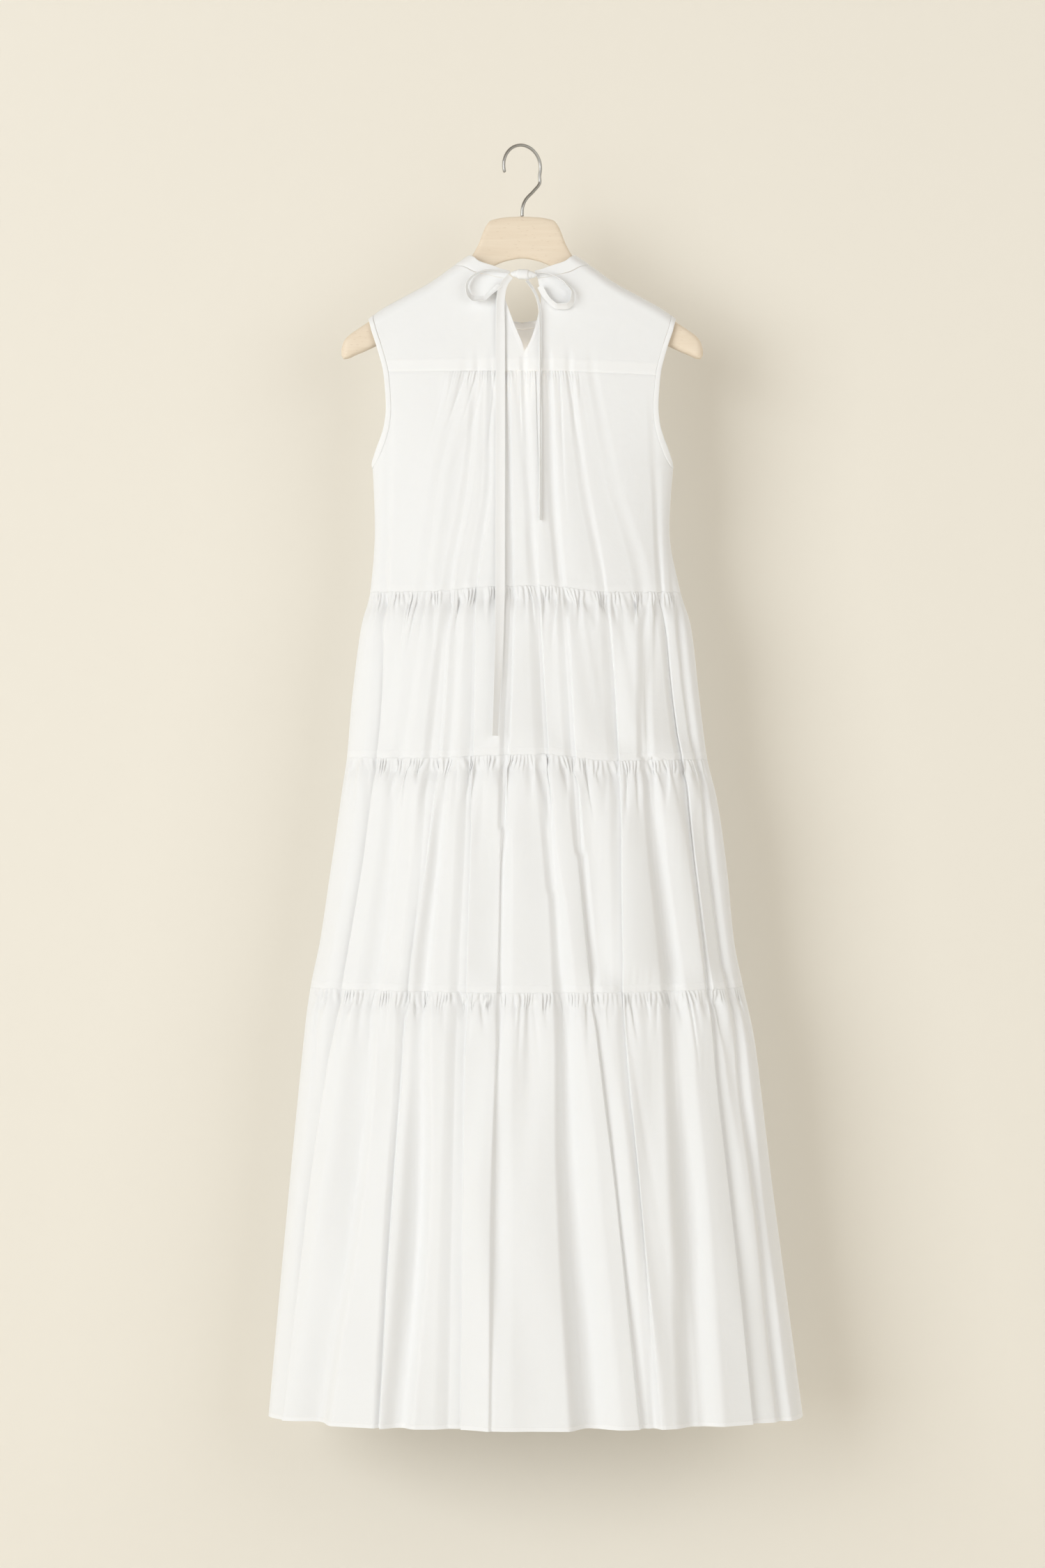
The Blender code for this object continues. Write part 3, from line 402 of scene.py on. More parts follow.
def make_piece(name, points, faces, finish, uv=None, masks=None, smooth=True):
    """A mesh object at the origin, from points in millimetres. uv and masks go with the points."""
    faces = np.asarray(faces)
    mesh = bpy.data.meshes.new(name)
    mesh.vertices.add(len(points))
    mesh.vertices.foreach_set("co", (np.asarray(points) * MM).ravel())
    mesh.loops.add(faces.size)
    mesh.loops.foreach_set("vertex_index", faces.ravel())
    mesh.polygons.add(len(faces))
    mesh.polygons.foreach_set("loop_start", np.arange(len(faces)) * faces.shape[1])
    mesh.polygons.foreach_set("use_smooth", np.full(len(faces), smooth))
    mesh.update(calc_edges=True)
    if uv is not None:
        layer = mesh.uv_layers.new(name="cloth")
        layer.data.foreach_set("uv", np.asarray(uv)[faces.ravel()].ravel())
    for title, values in (masks or {}).items():
        mesh.attributes.new(title, "FLOAT", "POINT").data.foreach_set("value", np.asarray(values, np.float32))
    mesh.validate()
    mesh.materials.append(finish)
    return in_scene(name, mesh)


def shell(name, points, faces, half, finish, uv, masks):
    """Closed cloth round a sheet of points: both its sides, half a thickness away, and the rim between them."""
    faces = np.asarray(faces)
    corners = points[faces]
    normals = np.cross(corners[:, 2] - corners[:, 0], corners[:, 3] - corners[:, 1])
    at_points = np.zeros_like(points)
    for k in range(4):
        np.add.at(at_points, faces[:, k], normals)
    at_points /= np.maximum(np.linalg.norm(at_points, axis=1, keepdims=True), 1e-12)
    half = np.broadcast_to(np.asarray(half, float), len(points))[:, None]
    count = len(points)
    starts, ends = faces.ravel(), np.roll(faces, -1, axis=1).ravel()
    open_edges = ~np.isin(starts * count + ends, ends * count + starts)
    a, b = starts[open_edges], ends[open_edges]
    rim = np.stack([b, a, a + count, b + count], -1)
    everything = np.concatenate([faces, faces[:, ::-1] + count, rim])
    both = np.concatenate([points + at_points * half, points - at_points * half])
    masks = {title: np.concatenate([values, values]) for title, values in masks.items()}
    made = make_piece(name, both, everything, finish, np.concatenate([uv, uv]), masks)
    keys = np.sort(np.stack([a, b], -1), axis=1)
    rim_keys = set((keys[:, 0] * 2 * count + keys[:, 1]).tolist())
    rim_keys |= set(((keys[:, 0] + count) * 2 * count + keys[:, 1] + count).tolist())
    edges = np.empty(len(made.data.edges) * 2, np.int64)
    made.data.edges.foreach_get("vertices", edges)
    edges = np.sort(edges.reshape(-1, 2), axis=1)
    sharp = np.isin(edges[:, 0] * 2 * count + edges[:, 1], np.array(sorted(rim_keys)))
    made.data.attributes.new("sharp_edge", "BOOLEAN", "EDGE").data.foreach_set("value", sharp)
    return made


def cloth(name, grid, side, finish, doubled=0, uv=None):
    """One layer of cloth over a grid of points, rows by columns. doubled marks where a turned edge lies behind it."""
    rows, columns = grid.shape[:2]
    faces = grid_faces(rows, columns)
    if side == FRONT:
        faces = faces[:, ::-1]
    if uv is None:
        down = np.linalg.norm(np.diff(grid, axis=0, prepend=grid[:1]), axis=-1).cumsum(0)
        over = np.linalg.norm(np.diff(grid, axis=1, prepend=grid[:, :1]), axis=-1).cumsum(1)
        uv = np.stack([over, down], -1) * MM
    masks = {"doubled": np.broadcast_to(doubled, (rows, columns)).ravel()}
    return shell(name, grid.reshape(-1, 3), faces, POPLIN / 2, finish, uv.reshape(-1, 2), masks)


def columns_between(counts):
    """(gap, share) of each column of a panel, for these numbers of columns between the lines it is laid out on."""
    gaps = np.concatenate([np.repeat(np.arange(len(counts)), counts), [len(counts) - 1]])
    shares = np.concatenate([*[np.arange(count) / count for count in counts], [1]])
    return gaps, shares


def seam_dent(away, depth=SEAM_DENT):
    """How far the cloth sinks this far away from a seam."""
    return depth * np.exp(-(away / DENT_HEIGHT) ** 2)


def turned_up(above):
    """How much the allowance turned up behind the cloth shows, this far above a seam."""
    return 0.45 * (1 - ramp(above, TURNED_UP - 0.5, TURNED_UP + 0.5))


# The three tiers

def arc_places(turn, drop, side):
    """How far round the body, from the left side seam, each turn lies at one drop."""
    fine = np.linspace(0, math.pi, 600)
    half = (RIGHT_SIDE(drop) - LEFT_SIDE(drop)) / 2
    steps = np.hypot(half * np.sin(fine), DEPTH[side](drop) * np.cos(fine))
    return np.interp(turn, fine, np.concatenate([[0], np.cumsum((steps[1:] + steps[:-1]) / 2 * np.diff(fine))]))


def tier_columns(tier, side):
    """(gap, share) of each column between the folds' valleys, with more where the cloth is more folded."""
    top, bottom = valleys(np.array(float(tier.top)), side), valleys(np.array(float(tier.bottom)), side)
    top_places = arc_places(np.array([valley.turn for valley in top]), tier.top, side)
    bottom_places = arc_places(np.array([valley.turn for valley in bottom]), tier.bottom, side)
    flanks = np.array([valley.depth for valley in bottom])
    widths = np.maximum(np.diff(top_places), 0.75 * (np.diff(bottom_places) + 0.8 * (flanks[1:] + flanks[:-1])))
    return columns_between(np.maximum(4, np.round(TIER_COLUMNS[side] * widths / widths.sum())).astype(int))


def tier_rows(height):
    """How far below its top seam each row of a tier lies: close in the gathered strip and at the lower edge."""
    strip = np.linspace(0, STRIP, 9)
    upper = STRIP + 60 * np.linspace(0, 1, 21)[1:] ** 1.3
    lower = np.linspace(STRIP + 60, height - 14, 41)[1:]
    edge = height - np.array([9.2, 8.4, 7.6, 6, 5.2, 4.6, 4, 1.5, 0])
    return np.concatenate([strip, upper, lower, edge])


def crimps(place, below, seed):
    """The fine crimps between the two gathering threads, some of them running on below the threads."""
    leaning = 0.16 * ripple(place, seed + 2, 14) * below
    phase = 2 * math.pi * (place + leaning + 3 * ripple(place, seed, 17)) / CRIMP_PITCH
    strength = np.clip(0.8 + 0.6 * ripple(place, seed + 1, 13), 0.2, 1.3)
    foot = STRIP + 5 * ripple(place, seed + 3, 8)
    return CRIMP_DEPTH * strength * np.sin(phase) * ramp(below, 0, 4) * (1 - ramp(below, foot - 7, foot + 6))


def gathers(place, below, count, longest, seed, widths=(1.6, 4.6), depths=(1.1, 4.2), shortest=18):
    """(push, shift) of the short sharp gathers that start at the threads and fade out below them."""
    draw = np.random.default_rng(seed)
    push, shift = 0, 0
    for i in range(count):
        where = between(place.min(), place.max(), (i + draw.uniform(0.05, 0.95)) / count)
        width, depth = draw.uniform(*widths), draw.uniform(*depths)
        reach = shortest + (longest - shortest) * draw.random() ** 1.9
        slant = draw.uniform(-GATHER_SLANT, GATHER_SLANT)
        lean = draw.choice((-1, 1)) * draw.uniform(*GATHER_LEAN)
        line = np.exp(-((place - where - slant * below) / width) ** 2)
        fade = (0.25 + 0.75 * ramp(below, 3, STRIP + 4)) * np.clip(1 - (below - STRIP) / reach, 0, 1) ** 1.4
        fade = np.minimum(fade * np.clip(below / 3, 0, 1), 1)
        push = push - depth * line * fade
        shift = shift + lean * depth * line * fade
    return push, shift


def tier_panel(tier, side, finish):
    """One gathered panel of a tier, from its left side seam to its right one."""
    gap, share = tier_columns(tier, side)
    height = tier.bottom - tier.top
    rows = tier_rows(height)[:, None] / height
    level = between(tier.top, tier.bottom, rows)
    turns = np.concatenate([valley.turn for valley in valleys(level, side)], axis=1)
    even = share - 0.45 * rows * np.sin(2 * math.pi * share) / (2 * math.pi)
    turn = between(turns[:, gap], turns[:, gap + 1], even)
    across = across_at(turn, level)
    top = seam_drop(tier.top_seam, across) + SEAM_GAP
    bottom = seam_drop(tier.bottom_seam, across)
    drop = between(top, bottom, rows)
    below, above = drop - top, bottom - drop
    place = arc_places(turn[0], tier.top, side)
    seed = tier.seed + (side == FRONT) * 100
    push, shift = gathers(place, below, tier.gathers, tier.longest, seed)
    long_push, long_shift = gathers(place, below, LONG_GATHERS, 1.3 * height, seed + 3, (4, 9), (1, 3),
                                    0.5 * height)
    push, shift = push + long_push, shift + long_shift
    crimped = crimps(place, below, seed + 5)
    push, shift = push + crimped, shift + 0.7 * crimped
    push = push + GATHER_PUFF * ramp(below, 0, STRIP + 14) * (1 - ramp(below, STRIP + 15, STRIP + 120))
    push = push - seam_dent(below)
    held = 1 if tier.bottom == HEM else ramp(above, 0, SEAM_HOLD)
    push, shift = push * held, shift * held
    billow = ripple(place + 9 * ripple(below, seed + 8, 170), seed + 7, 34)
    billow = billow + 0.7 * ripple(place - 0.16 * below, seed + 9, 52)
    push = push + (1.5 + below / 160) * billow * ramp(below, 10, 90) * held
    if tier.bottom == HEM:
        doubled = 1 - ramp(above, HEM_ROLL - 0.3, HEM_ROLL + 0.3)
        push = push + 0.35 * doubled - 0.25 * np.exp(-((above - HEM_ROLL) / 0.5) ** 2)
    else:
        doubled = turned_up(above)
        push = push + 0.5 * doubled - seam_dent(above)
    at_side = np.clip(3 * np.sin(turn), 0, 1)
    points = body_points(across_at(turn, drop), drop, side, 1, push * at_side, 1, shift * at_side)
    uv = np.stack([place + 0 * below, below], -1) * MM
    facing = "back" if side == BACK else "front"
    return cloth(f"{tier.name}_panel_{facing}", points, side, finish, doubled, uv)


# The bodice, its yoke and its bindings

def neck_edges(end, places):
    """The (across, over) of the neckband's inner and outer edges, from the slit (0) to the middle front (8)."""
    known = np.arange(len(NECKBAND))
    edges = []
    for across, drop in (("inner", "inner_drop"), ("outer", "outer_drop")):
        reach = np.array([getattr(row, across) for row in NECKBAND], float)
        overs = [row.side * over_for(getattr(row, across), getattr(row, drop)) for row in NECKBAND]
        edges.append((end * curve_through(known, reach)(places), curve_through(known, overs)(places)))
    return edges


def armhole_station(end, share):
    """(across, over) of the cloth's edge, a share of the way from the shoulder line to the yoke's level."""
    foot = end * ARMHOLE_CLOTH(seam_drop("yoke", end * 153))
    over = share * over_for(foot, seam_drop("yoke", foot))
    across = np.full_like(over, SHOULDER_END)
    for _ in range(12):
        across = ARMHOLE_CLOTH(drop_for(across, over))
    return end * np.minimum(across, SHOULDER_END), over


def slit_station(end, share):
    """(across, over) of the slit's edge, and below its end of the middle of the yoke."""
    top = end * NECKBAND[0].outer
    over = between(over_for(top, NECKBAND[0].outer_drop), over_for(SLIT_FOOT, seam_drop("yoke", SLIT_FOOT)), share)
    edge = SLIT_SIDE[end](drop_for(0.5 * top, over) + 4 * (1 - share))
    return np.where(share > BELOW_SLIT, SLIT_FOOT, edge), over


def middle_station(share):
    """(across, over) down the middle of the front, from the neckband to the yoke's level."""
    top = over_for(0, NECKBAND[-1].outer_drop + 2 * SEAM_GAP)
    return 0 * share, between(top, over_for(0, seam_drop("yoke", 0)), share)


def upper_half(side, end, shares, shoulder_steps, neck_steps):
    """(across, over) of half a shoulder's cloth, rows by columns, down to the yoke's level."""
    neck_point = NECKBAND[4].outer
    along = (np.arange(shoulder_steps + 1) / shoulder_steps) ** 1.15
    crossing = np.linspace(4, 5, 200)
    crossing = crossing[np.argmin(np.abs(neck_edges(LEFT, crossing)[1][1]))]
    top_across = end * between(SHOULDER_END, neck_point + 2 * SEAM_GAP, along)
    places = np.linspace(crossing, 0 if side == BACK else 8, neck_steps + 1)[1:]
    (inner, inner_over), (outer, outer_over) = neck_edges(end, places)
    away = np.stack([outer - inner, np.abs(outer_over) - np.abs(inner_over)])
    away *= 2 * SEAM_GAP / np.linalg.norm(away, axis=0)
    across = np.concatenate([top_across, outer + away[0]])
    over = np.concatenate([0 * top_across, np.abs(outer_over) + away[1]])
    middle = slit_station(end, shares) if side == BACK else middle_station(shares)
    across[-1], over[-1] = middle[0][0], middle[1][0]
    armhole = armhole_station(end, shares)
    steps = np.hypot(np.diff(across), np.diff(over))
    place = np.append(0, np.cumsum(steps)) / steps.sum()
    foot = between(armhole[0][-1], middle[0][-1], place)
    foot_over = over_for(foot, seam_drop("yoke", foot))
    share = shares[:, None]
    spots = []
    for axis, here, low in ((0, across, foot), (1, over, foot_over)):
        value = between(here, low, share)
        for weight, edge, j in ((1 - place, armhole, 0), (place, middle, -1)):
            value = value + weight * (edge[axis][:, None] - between(here[j], low[j], share))
        spots.append(value)
    across, over = spots[0], np.maximum(0, spots[1])
    return (across, over) if end == LEFT else (across[:, ::-1], over[:, ::-1])


def knot_places(drop):
    """Where the bodice's columns gather: the cloth's edges and the long folds between them."""
    folds = [fold.across(drop) for fold in FOLD_CURVES[1:len(BODICE_COLUMNS)]]
    return np.stack([cloth_edge(drop, LEFT), *folds, cloth_edge(drop, RIGHT)])


def across_between(gap, even, drop):
    knots = knot_places(drop)
    low = np.take_along_axis(knots, np.broadcast_to(gap, drop.shape)[None], 0)[0]
    high = np.take_along_axis(knots, np.broadcast_to(gap + 1, drop.shape)[None], 0)[0]
    return between(low, high, even)


def bodice_rows(gap, even, side, gathered):
    """Points of a bodice panel below the yoke's level, and where its seam allowance lies."""
    upper, lower = np.linspace(0, 1, 30)[:, None], np.linspace(0, 1, 32)[1:, None]
    if gathered:
        upper = upper ** 1.3
    grids, masks = [], []
    for shares, start, stop in ((upper, YOKE, ARMPIT), (lower, ARMPIT, WAIST)):
        level = between(start, stop, shares) + 0 * even
        across = across_between(gap, even, level)
        top = seam_drop("yoke", across) + (SEAM_GAP if gathered else 0)
        low = seam_drop("waist", across)
        drop = between(top if start == YOKE else ARMPIT, low if stop == WAIST else stop, shares)
        across = across_between(gap, even, drop)
        push, shift = 0, 0
        above = low - drop
        doubled = turned_up(above)
        if gathered:
            seam_place = across_between(gap, even, np.full_like(drop, YOKE))[0]
            inside = ramp(seam_place, YOKE_GATHERED[0] - 6, YOKE_GATHERED[0] + 8)
            inside = inside * (1 - ramp(seam_place, YOKE_GATHERED[1] - 8, YOKE_GATHERED[1] + 6))
            below = drop - top
            push, shift = gathers(seam_place, below + STRIP - 6, 46, 220, 71, (1.1, 2.7), (0.8, 2.1), 40)
            push, shift = push * inside, shift * inside
            fine = np.sin(2 * math.pi * (seam_place + ripple(seam_place, 74, 25)) / YOKE_CRIMP_PITCH)
            push = push + 0.5 * fine * inside * np.clip(1 - below / 16, 0, 1) * np.clip(below / 1.5, 0, 1)
            push = push + 1.6 * inside * ramp(below, 0, 10) * (1 - ramp(below, 12, 60))
            push = push - seam_dent(below, YOKE_DENT)
        held = ramp(above, 0, 25)
        push, shift = push * held, shift * held
        push = push + 0.9 * held * ripple(even + gap, 81, 0.5) * ramp(drop, 300, 380)
        push = push + 0.5 * doubled - seam_dent(above)
        push = push * np.clip(3 * np.sin(turn_at(across, drop)) + (drop < ARMPIT), 0, 1)
        grids.append(body_points(across, drop, side, 1, push, 1, shift))
        masks.append(doubled)
    return np.concatenate(grids), np.concatenate(masks)


def back_bodice(finish):
    gap, even = columns_between(BODICE_COLUMNS)
    even = np.where(gap == 0, (even + even ** 1.6) / 2, even)
    even = np.where(gap == gap[-1], 1 - (1 - even + np.maximum(0, 1 - even) ** 1.6) / 2, even)
    points, doubled = bodice_rows(gap, even, BACK, True)
    return cloth("bodice_back", points, BACK, finish, doubled)


def front_bodice(finish):
    """The front is one piece from the shoulders to the waist."""
    shares = np.linspace(0, 1, 44) ** 1.25
    halves = [upper_half(FRONT, end, shares, 70, 56) for end in (LEFT, RIGHT)]
    across = np.concatenate([halves[0][0], halves[1][0][:, 1:]], axis=1)
    over = np.concatenate([halves[0][1], halves[1][1][:, 1:]], axis=1)
    knots = knot_places(np.array(float(YOKE)))
    gap = np.clip(np.searchsorted(knots, across[-1], side="right") - 1, 0, len(knots) - 2)
    even = (across[-1] - knots[gap]) / (knots[gap + 1] - knots[gap])
    gap[0], even[0], gap[-1], even[-1] = 0, 0, len(knots) - 2, 1
    lower, doubled = bodice_rows(gap, even, FRONT, False)
    points = np.concatenate([over_shoulder(across[:-1], over[:-1], FRONT), lower])
    doubled = np.concatenate([np.zeros((len(points) - len(lower), len(gap))), doubled])
    return cloth("bodice_front", points, FRONT, finish, doubled)


def back_yoke(finish):
    """The yoke hangs in two halves beside the slit, joined below its end."""
    shares = np.concatenate([np.linspace(0, YOKE_ROWS_BEND, 58), np.linspace(YOKE_ROWS_BEND, 1, 14)[1:]])
    grids, masks = [], []
    for end in (LEFT, RIGHT):
        across, over = upper_half(BACK, end, shares, 80, 50)
        drop = drop_for(across, over)
        above = seam_drop("yoke", across) - drop
        edge = np.abs(across - np.where(end == LEFT, across[:, -1:], across[:, :1]))
        hemmed = (1 - ramp(edge, SLIT_HEM - 0.4, SLIT_HEM + 0.4)) * (drop < SLIT_END + SLIT_HEM)
        doubled = np.maximum(1 - ramp(above, *YOKE_TURNED_UP), hemmed)
        grids.append(over_shoulder(across, over, BACK, 0.3 * doubled - seam_dent(above, YOKE_DENT)))
        masks.append(doubled)
    rows, columns = grids[0].shape[:2]
    right_columns = grids[1].shape[1]
    faces = np.concatenate([grid_faces(rows, columns), grid_faces(rows, right_columns, rows * columns)])
    points = np.concatenate([grid.reshape(-1, 3) for grid in grids])
    joined = np.flatnonzero(shares > BELOW_SLIT)
    same = np.arange(len(points))
    same[rows * columns + joined * right_columns] = joined * columns + columns - 1
    kept, faces = np.unique(same[faces], return_inverse=True)
    uv = np.stack([points[:, 0], -points[:, 2]], -1)[kept] * MM
    masks = {"doubled": np.concatenate([mask.ravel() for mask in masks])[kept]}
    return shell("yoke", points[kept], faces.reshape(-1, 4), POPLIN / 2, finish, uv, masks)


BAND_COLUMNS = np.array((0, 0.03, 0.1, 0.22, 0.4, 0.6, 0.78, 0.9, 0.97, 1))


def band(name, grid, thickness, finish, side, closed=False):
    """A folded band over rows along it and BAND_COLUMNS across, flat with rounded edges."""
    rows, columns = grid.shape[:2]
    faces = grid_faces(rows, columns, closed=closed)
    if side == FRONT:
        faces = faces[:, ::-1]
    round_edges = np.sqrt(np.clip(1 - np.abs(2 * BAND_COLUMNS - 1) ** 6, 0.03, 1))
    half = np.broadcast_to(thickness / 2 * round_edges, (rows, columns)).ravel()
    down = np.linalg.norm(np.diff(grid[:, 0], axis=0, prepend=grid[:1, 0]), axis=-1).cumsum()
    wide = np.linalg.norm(grid[:, -1] - grid[:, 0], axis=-1)[:, None] * BAND_COLUMNS
    uv = np.stack([wide, down[:, None] + 0 * wide], -1).reshape(-1, 2) * MM
    return shell(name, grid.reshape(-1, 3), faces, half, finish, uv, {"doubled": np.ones(rows * columns)})


def neckband(finish):
    places = np.linspace(0, 8, 161)
    grids = []
    for end in (LEFT, RIGHT):
        (inner, inner_over), (outer, outer_over) = neck_edges(end, places)
        across = between(inner[:, None], outer[:, None], BAND_COLUMNS)
        over = between(inner_over[:, None], outer_over[:, None], BAND_COLUMNS)
        side = np.where(outer_over <= 0, BACK, FRONT)[:, None]
        back, front = (over_shoulder(across, np.abs(over), facing) for facing in (BACK, FRONT))
        grid = np.where((side == BACK)[..., None], back, front)
        grid[np.abs(outer_over) < 1e-9, :, 1] = 0
        grids.append(grid)
    return band("neck_binding", np.concatenate([grids[0], grids[1][-2::-1]]), BINDING_THICK, finish, FRONT)


def armhole_binding(end, finish):
    """The folded strip round one armhole, as a closed ring over the shoulder and under the arm."""
    across, over = armhole_station(end, np.linspace(0, 1, 50))
    foot = drop_for(np.abs(across[-1]), over[-1])
    drops = between(foot, ARMPIT, np.linspace(0, 1, 60)[1:])
    across = np.concatenate([across, cloth_edge(drops, end)])
    over = np.concatenate([over, over_for(ARMHOLE_CLOTH(drops), drops)])
    drop = np.minimum(drop_for(across, over), ARMPIT - SEAM_GAP)
    fallen = (drop - SHOULDER_DROP(SHOULDER_END)) / ARMHOLE_FALL
    edge_drop = between(SHOULDER_DROP(BINDING_SHOULDER), BINDING_FOOT, fallen)
    edge = end * ARMHOLE_EDGE(edge_drop)
    seam = across + end * 2 * SEAM_GAP * np.clip((ARMPIT - drop) / 10, 0, 1)
    seam_over = np.where(over < QUARTER_TURN, over, over_for(seam, drop))
    edge_over = np.where(over < QUARTER_TURN, over, over_for(edge, edge_drop))
    halves = []
    for side in (BACK, FRONT):
        place = between(edge[:, None], seam[:, None], BAND_COLUMNS)
        place_over = between(edge_over[:, None], seam_over[:, None], BAND_COLUMNS)
        points = over_shoulder(place, place_over, side)
        points[[0, -1], :, 1] = 0
        halves.append(points)
    grid = np.concatenate([halves[0], halves[1][-2:0:-1]])
    name = "armhole_binding_l" if end == LEFT else "armhole_binding_r"
    return band(name, grid, BINDING_THICK, finish, BACK if end == RIGHT else FRONT, closed=True)


# The tie

def ribbon(name, table, finish, steps):
    """A folded ribbon of the tie along its table, curling a little across its width."""
    known = np.array([(row.across, row.drop) for row in table], float)
    length = np.concatenate([[0], np.linalg.norm(np.diff(known, axis=0), axis=1).cumsum()])
    at = np.linspace(0, length[-1], steps)
    across, drop, away, width, turn = (curve_through(length, [row[k] for row in table])(at) for k in range(5))
    middle = np.stack([across, -DEPTH[BACK](drop) - away, -drop], -1)
    ahead = np.gradient(middle, axis=0)
    flat = np.stack([-ahead[:, 2], 0 * across, ahead[:, 0]], -1)
    flat /= np.linalg.norm(flat, axis=1, keepdims=True)
    angle = np.radians(turn)[:, None]
    wide = flat * np.cos(angle) + np.array([0, 1, 0]) * np.sin(angle)
    face = np.cross(ahead, wide)
    face /= np.linalg.norm(face, axis=1, keepdims=True)
    share = (2 * BAND_COLUMNS - 1)[None, :, None]
    curl = 0.9 * (share ** 2 - 0.5)
    grid = middle[:, None] + wide[:, None] * share * width[:, None, None] / 2 + face[:, None] * curl
    return band(name, grid, RIBBON_THICK, finish, BACK)


def closed_loft(name, rings, finish):
    """A closed solid through rings of points, with a pole at each end."""
    count, sides = rings.shape[:2]
    first, last = rings[0].mean(0), rings[-1].mean(0)
    points = np.concatenate([rings.reshape(-1, 3), [first, last]])
    bm = bmesh.new()
    made = [bm.verts.new(Vector(point) * MM) for point in points]
    for i in range(count - 1):
        for j in range(sides):
            a, b = i * sides + j, i * sides + (j + 1) % sides
            bm.faces.new([made[k] for k in (a, b, b + sides, a + sides)])
    for pole, ring in ((count * sides, 0), (count * sides + 1, (count - 1) * sides)):
        for j in range(sides):
            bm.faces.new([made[pole], made[ring + j], made[ring + (j + 1) % sides]])
    bmesh.ops.recalc_face_normals(bm, faces=bm.faces)
    for face in bm.faces:
        face.smooth = True
    mesh = bpy.data.meshes.new(name)
    bm.to_mesh(mesh)
    bm.free()
    mesh.materials.append(finish)
    return in_scene(name, mesh)


def tie_knot(finish):
    """The knot: a soft bundle with the ribbon wrapped down over its middle."""
    share = np.linspace(-1, 1, 61)[:, None]
    angle = np.linspace(0, 2 * math.pi, 40, endpoint=False)[None, :]
    fat = np.sqrt(np.clip(1 - np.abs(share) ** 2.6, 0.05, 1))
    wrap = 1.2 * ramp(1 - np.abs(share + 0.12 * np.sin(angle)), 0.52, 0.62)
    crease = -0.7 * np.exp(-((share - 0.75 - 0.1 * np.sin(2 * angle)) / 0.05) ** 2)
    crease = crease - 0.7 * np.exp(-((share + 0.72 + 0.1 * np.cos(angle)) / 0.05) ** 2)
    groove = -0.5 * np.exp(-((np.sin(angle + 0.8 * share)) / 0.16) ** 2) * (np.abs(share) < 0.5)
    tall = (KNOT_HALF_HEIGHT - 0.9) * fat + (wrap + crease + groove) * fat
    deep = (KNOT_HALF_DEPTH - 0.9) * fat + (wrap + crease + groove) * fat
    x = KNOT.across + share * KNOT.width / 2 + 0 * angle
    y = -float(DEPTH[BACK](KNOT.drop)) - KNOT.away - deep * np.sin(angle)
    z = -KNOT.drop + tall * np.cos(angle) - 0.8 * share
    return closed_loft("bow_knot", np.stack([x, y, z], -1), finish)


# The hanger

def wooden_hanger(finish):
    places = np.array([-row.across for row in HANGER[:0:-1]] + [row.across for row in HANGER], float)
    rows = [*HANGER[:0:-1], *HANGER]
    tops, bottoms, depths = (curve_through(places, [getattr(row, edge) for row in rows]) for edge in Wood._fields[1:])
    rounding = HANGER_END * np.sin(np.linspace(0, math.pi / 2, 12)[1:])
    half = np.concatenate([np.linspace(0, HANGER_ARM, 101), HANGER_ARM + rounding])
    across = np.concatenate([-half[:0:-1], half])[:, None]
    angle = np.linspace(0, 2 * math.pi, 48, endpoint=False)[None, :]
    up = np.copysign(np.abs(np.cos(angle)) ** 0.62, np.cos(angle))
    deep = np.copysign(np.abs(np.sin(angle)) ** 0.62, np.sin(angle))
    top, bottom = tops(across), bottoms(across)
    z = -(top + bottom) / 2 + up * (bottom - top) / 2
    y = deep * depths(across)
    rings = np.stack([across + 0 * angle, y, z], -1)
    return closed_loft("wooden_hanger", rings, finish)


def wire_hook(finish):
    """An arc over the origin, then a neck down to the straight shank above the wood."""
    angles = np.radians(np.linspace(197, -22, 60))
    arc = np.stack([HOOK_RADIUS * np.cos(angles), HOOK_RADIUS * (1 - np.sin(angles)) - HOOK_WIRE / 2], -1)
    shank = np.array([arc[-1], *[(wire.across, wire.drop) for wire in HOOK_SHANK]], float)
    steps = np.concatenate([[0], np.linalg.norm(np.diff(shank, axis=0), axis=1).cumsum()])
    at = np.linspace(0, steps[-1], 50)[1:]
    neck = np.stack([curve_through(steps, shank[:, k])(at) for k in (0, 1)], -1)
    path = np.concatenate([arc, neck])
    for _ in range(6):
        path[1:-1] = (path[:-2] + 2 * path[1:-1] + path[2:]) / 4
    turn = math.radians(HOOK_TURN)
    plane = np.array([math.cos(turn), math.sin(turn), 0])
    beside = np.array([-math.sin(turn), math.cos(turn), 0])
    places = path[:, :1] * plane - path[:, 1:] * np.array([0, 0, 1])
    ahead = np.gradient(places, axis=0)
    ahead /= np.linalg.norm(ahead, axis=1, keepdims=True)
    radius = np.full(len(places), HOOK_WIRE / 2)
    tip = np.linspace(0, math.pi / 2, 6)
    places = np.concatenate([places[0] - ahead[0] * HOOK_WIRE / 2 * np.cos(tip[:-1])[:, None], places])
    ahead = np.concatenate([np.repeat(ahead[:1], 5, 0), ahead])
    radius = np.concatenate([HOOK_WIRE / 2 * np.maximum(np.sin(tip[:-1]), 0.12), radius])
    angle = np.linspace(0, 2 * math.pi, 24, endpoint=False)
    ring = np.cos(angle)[None, :, None] * beside
    ring = ring + np.sin(angle)[None, :, None] * np.cross(ahead, beside)[:, None]
    return closed_loft("hook", places[:, None] + ring * radius[:, None, None], finish)


# Rows of stitches

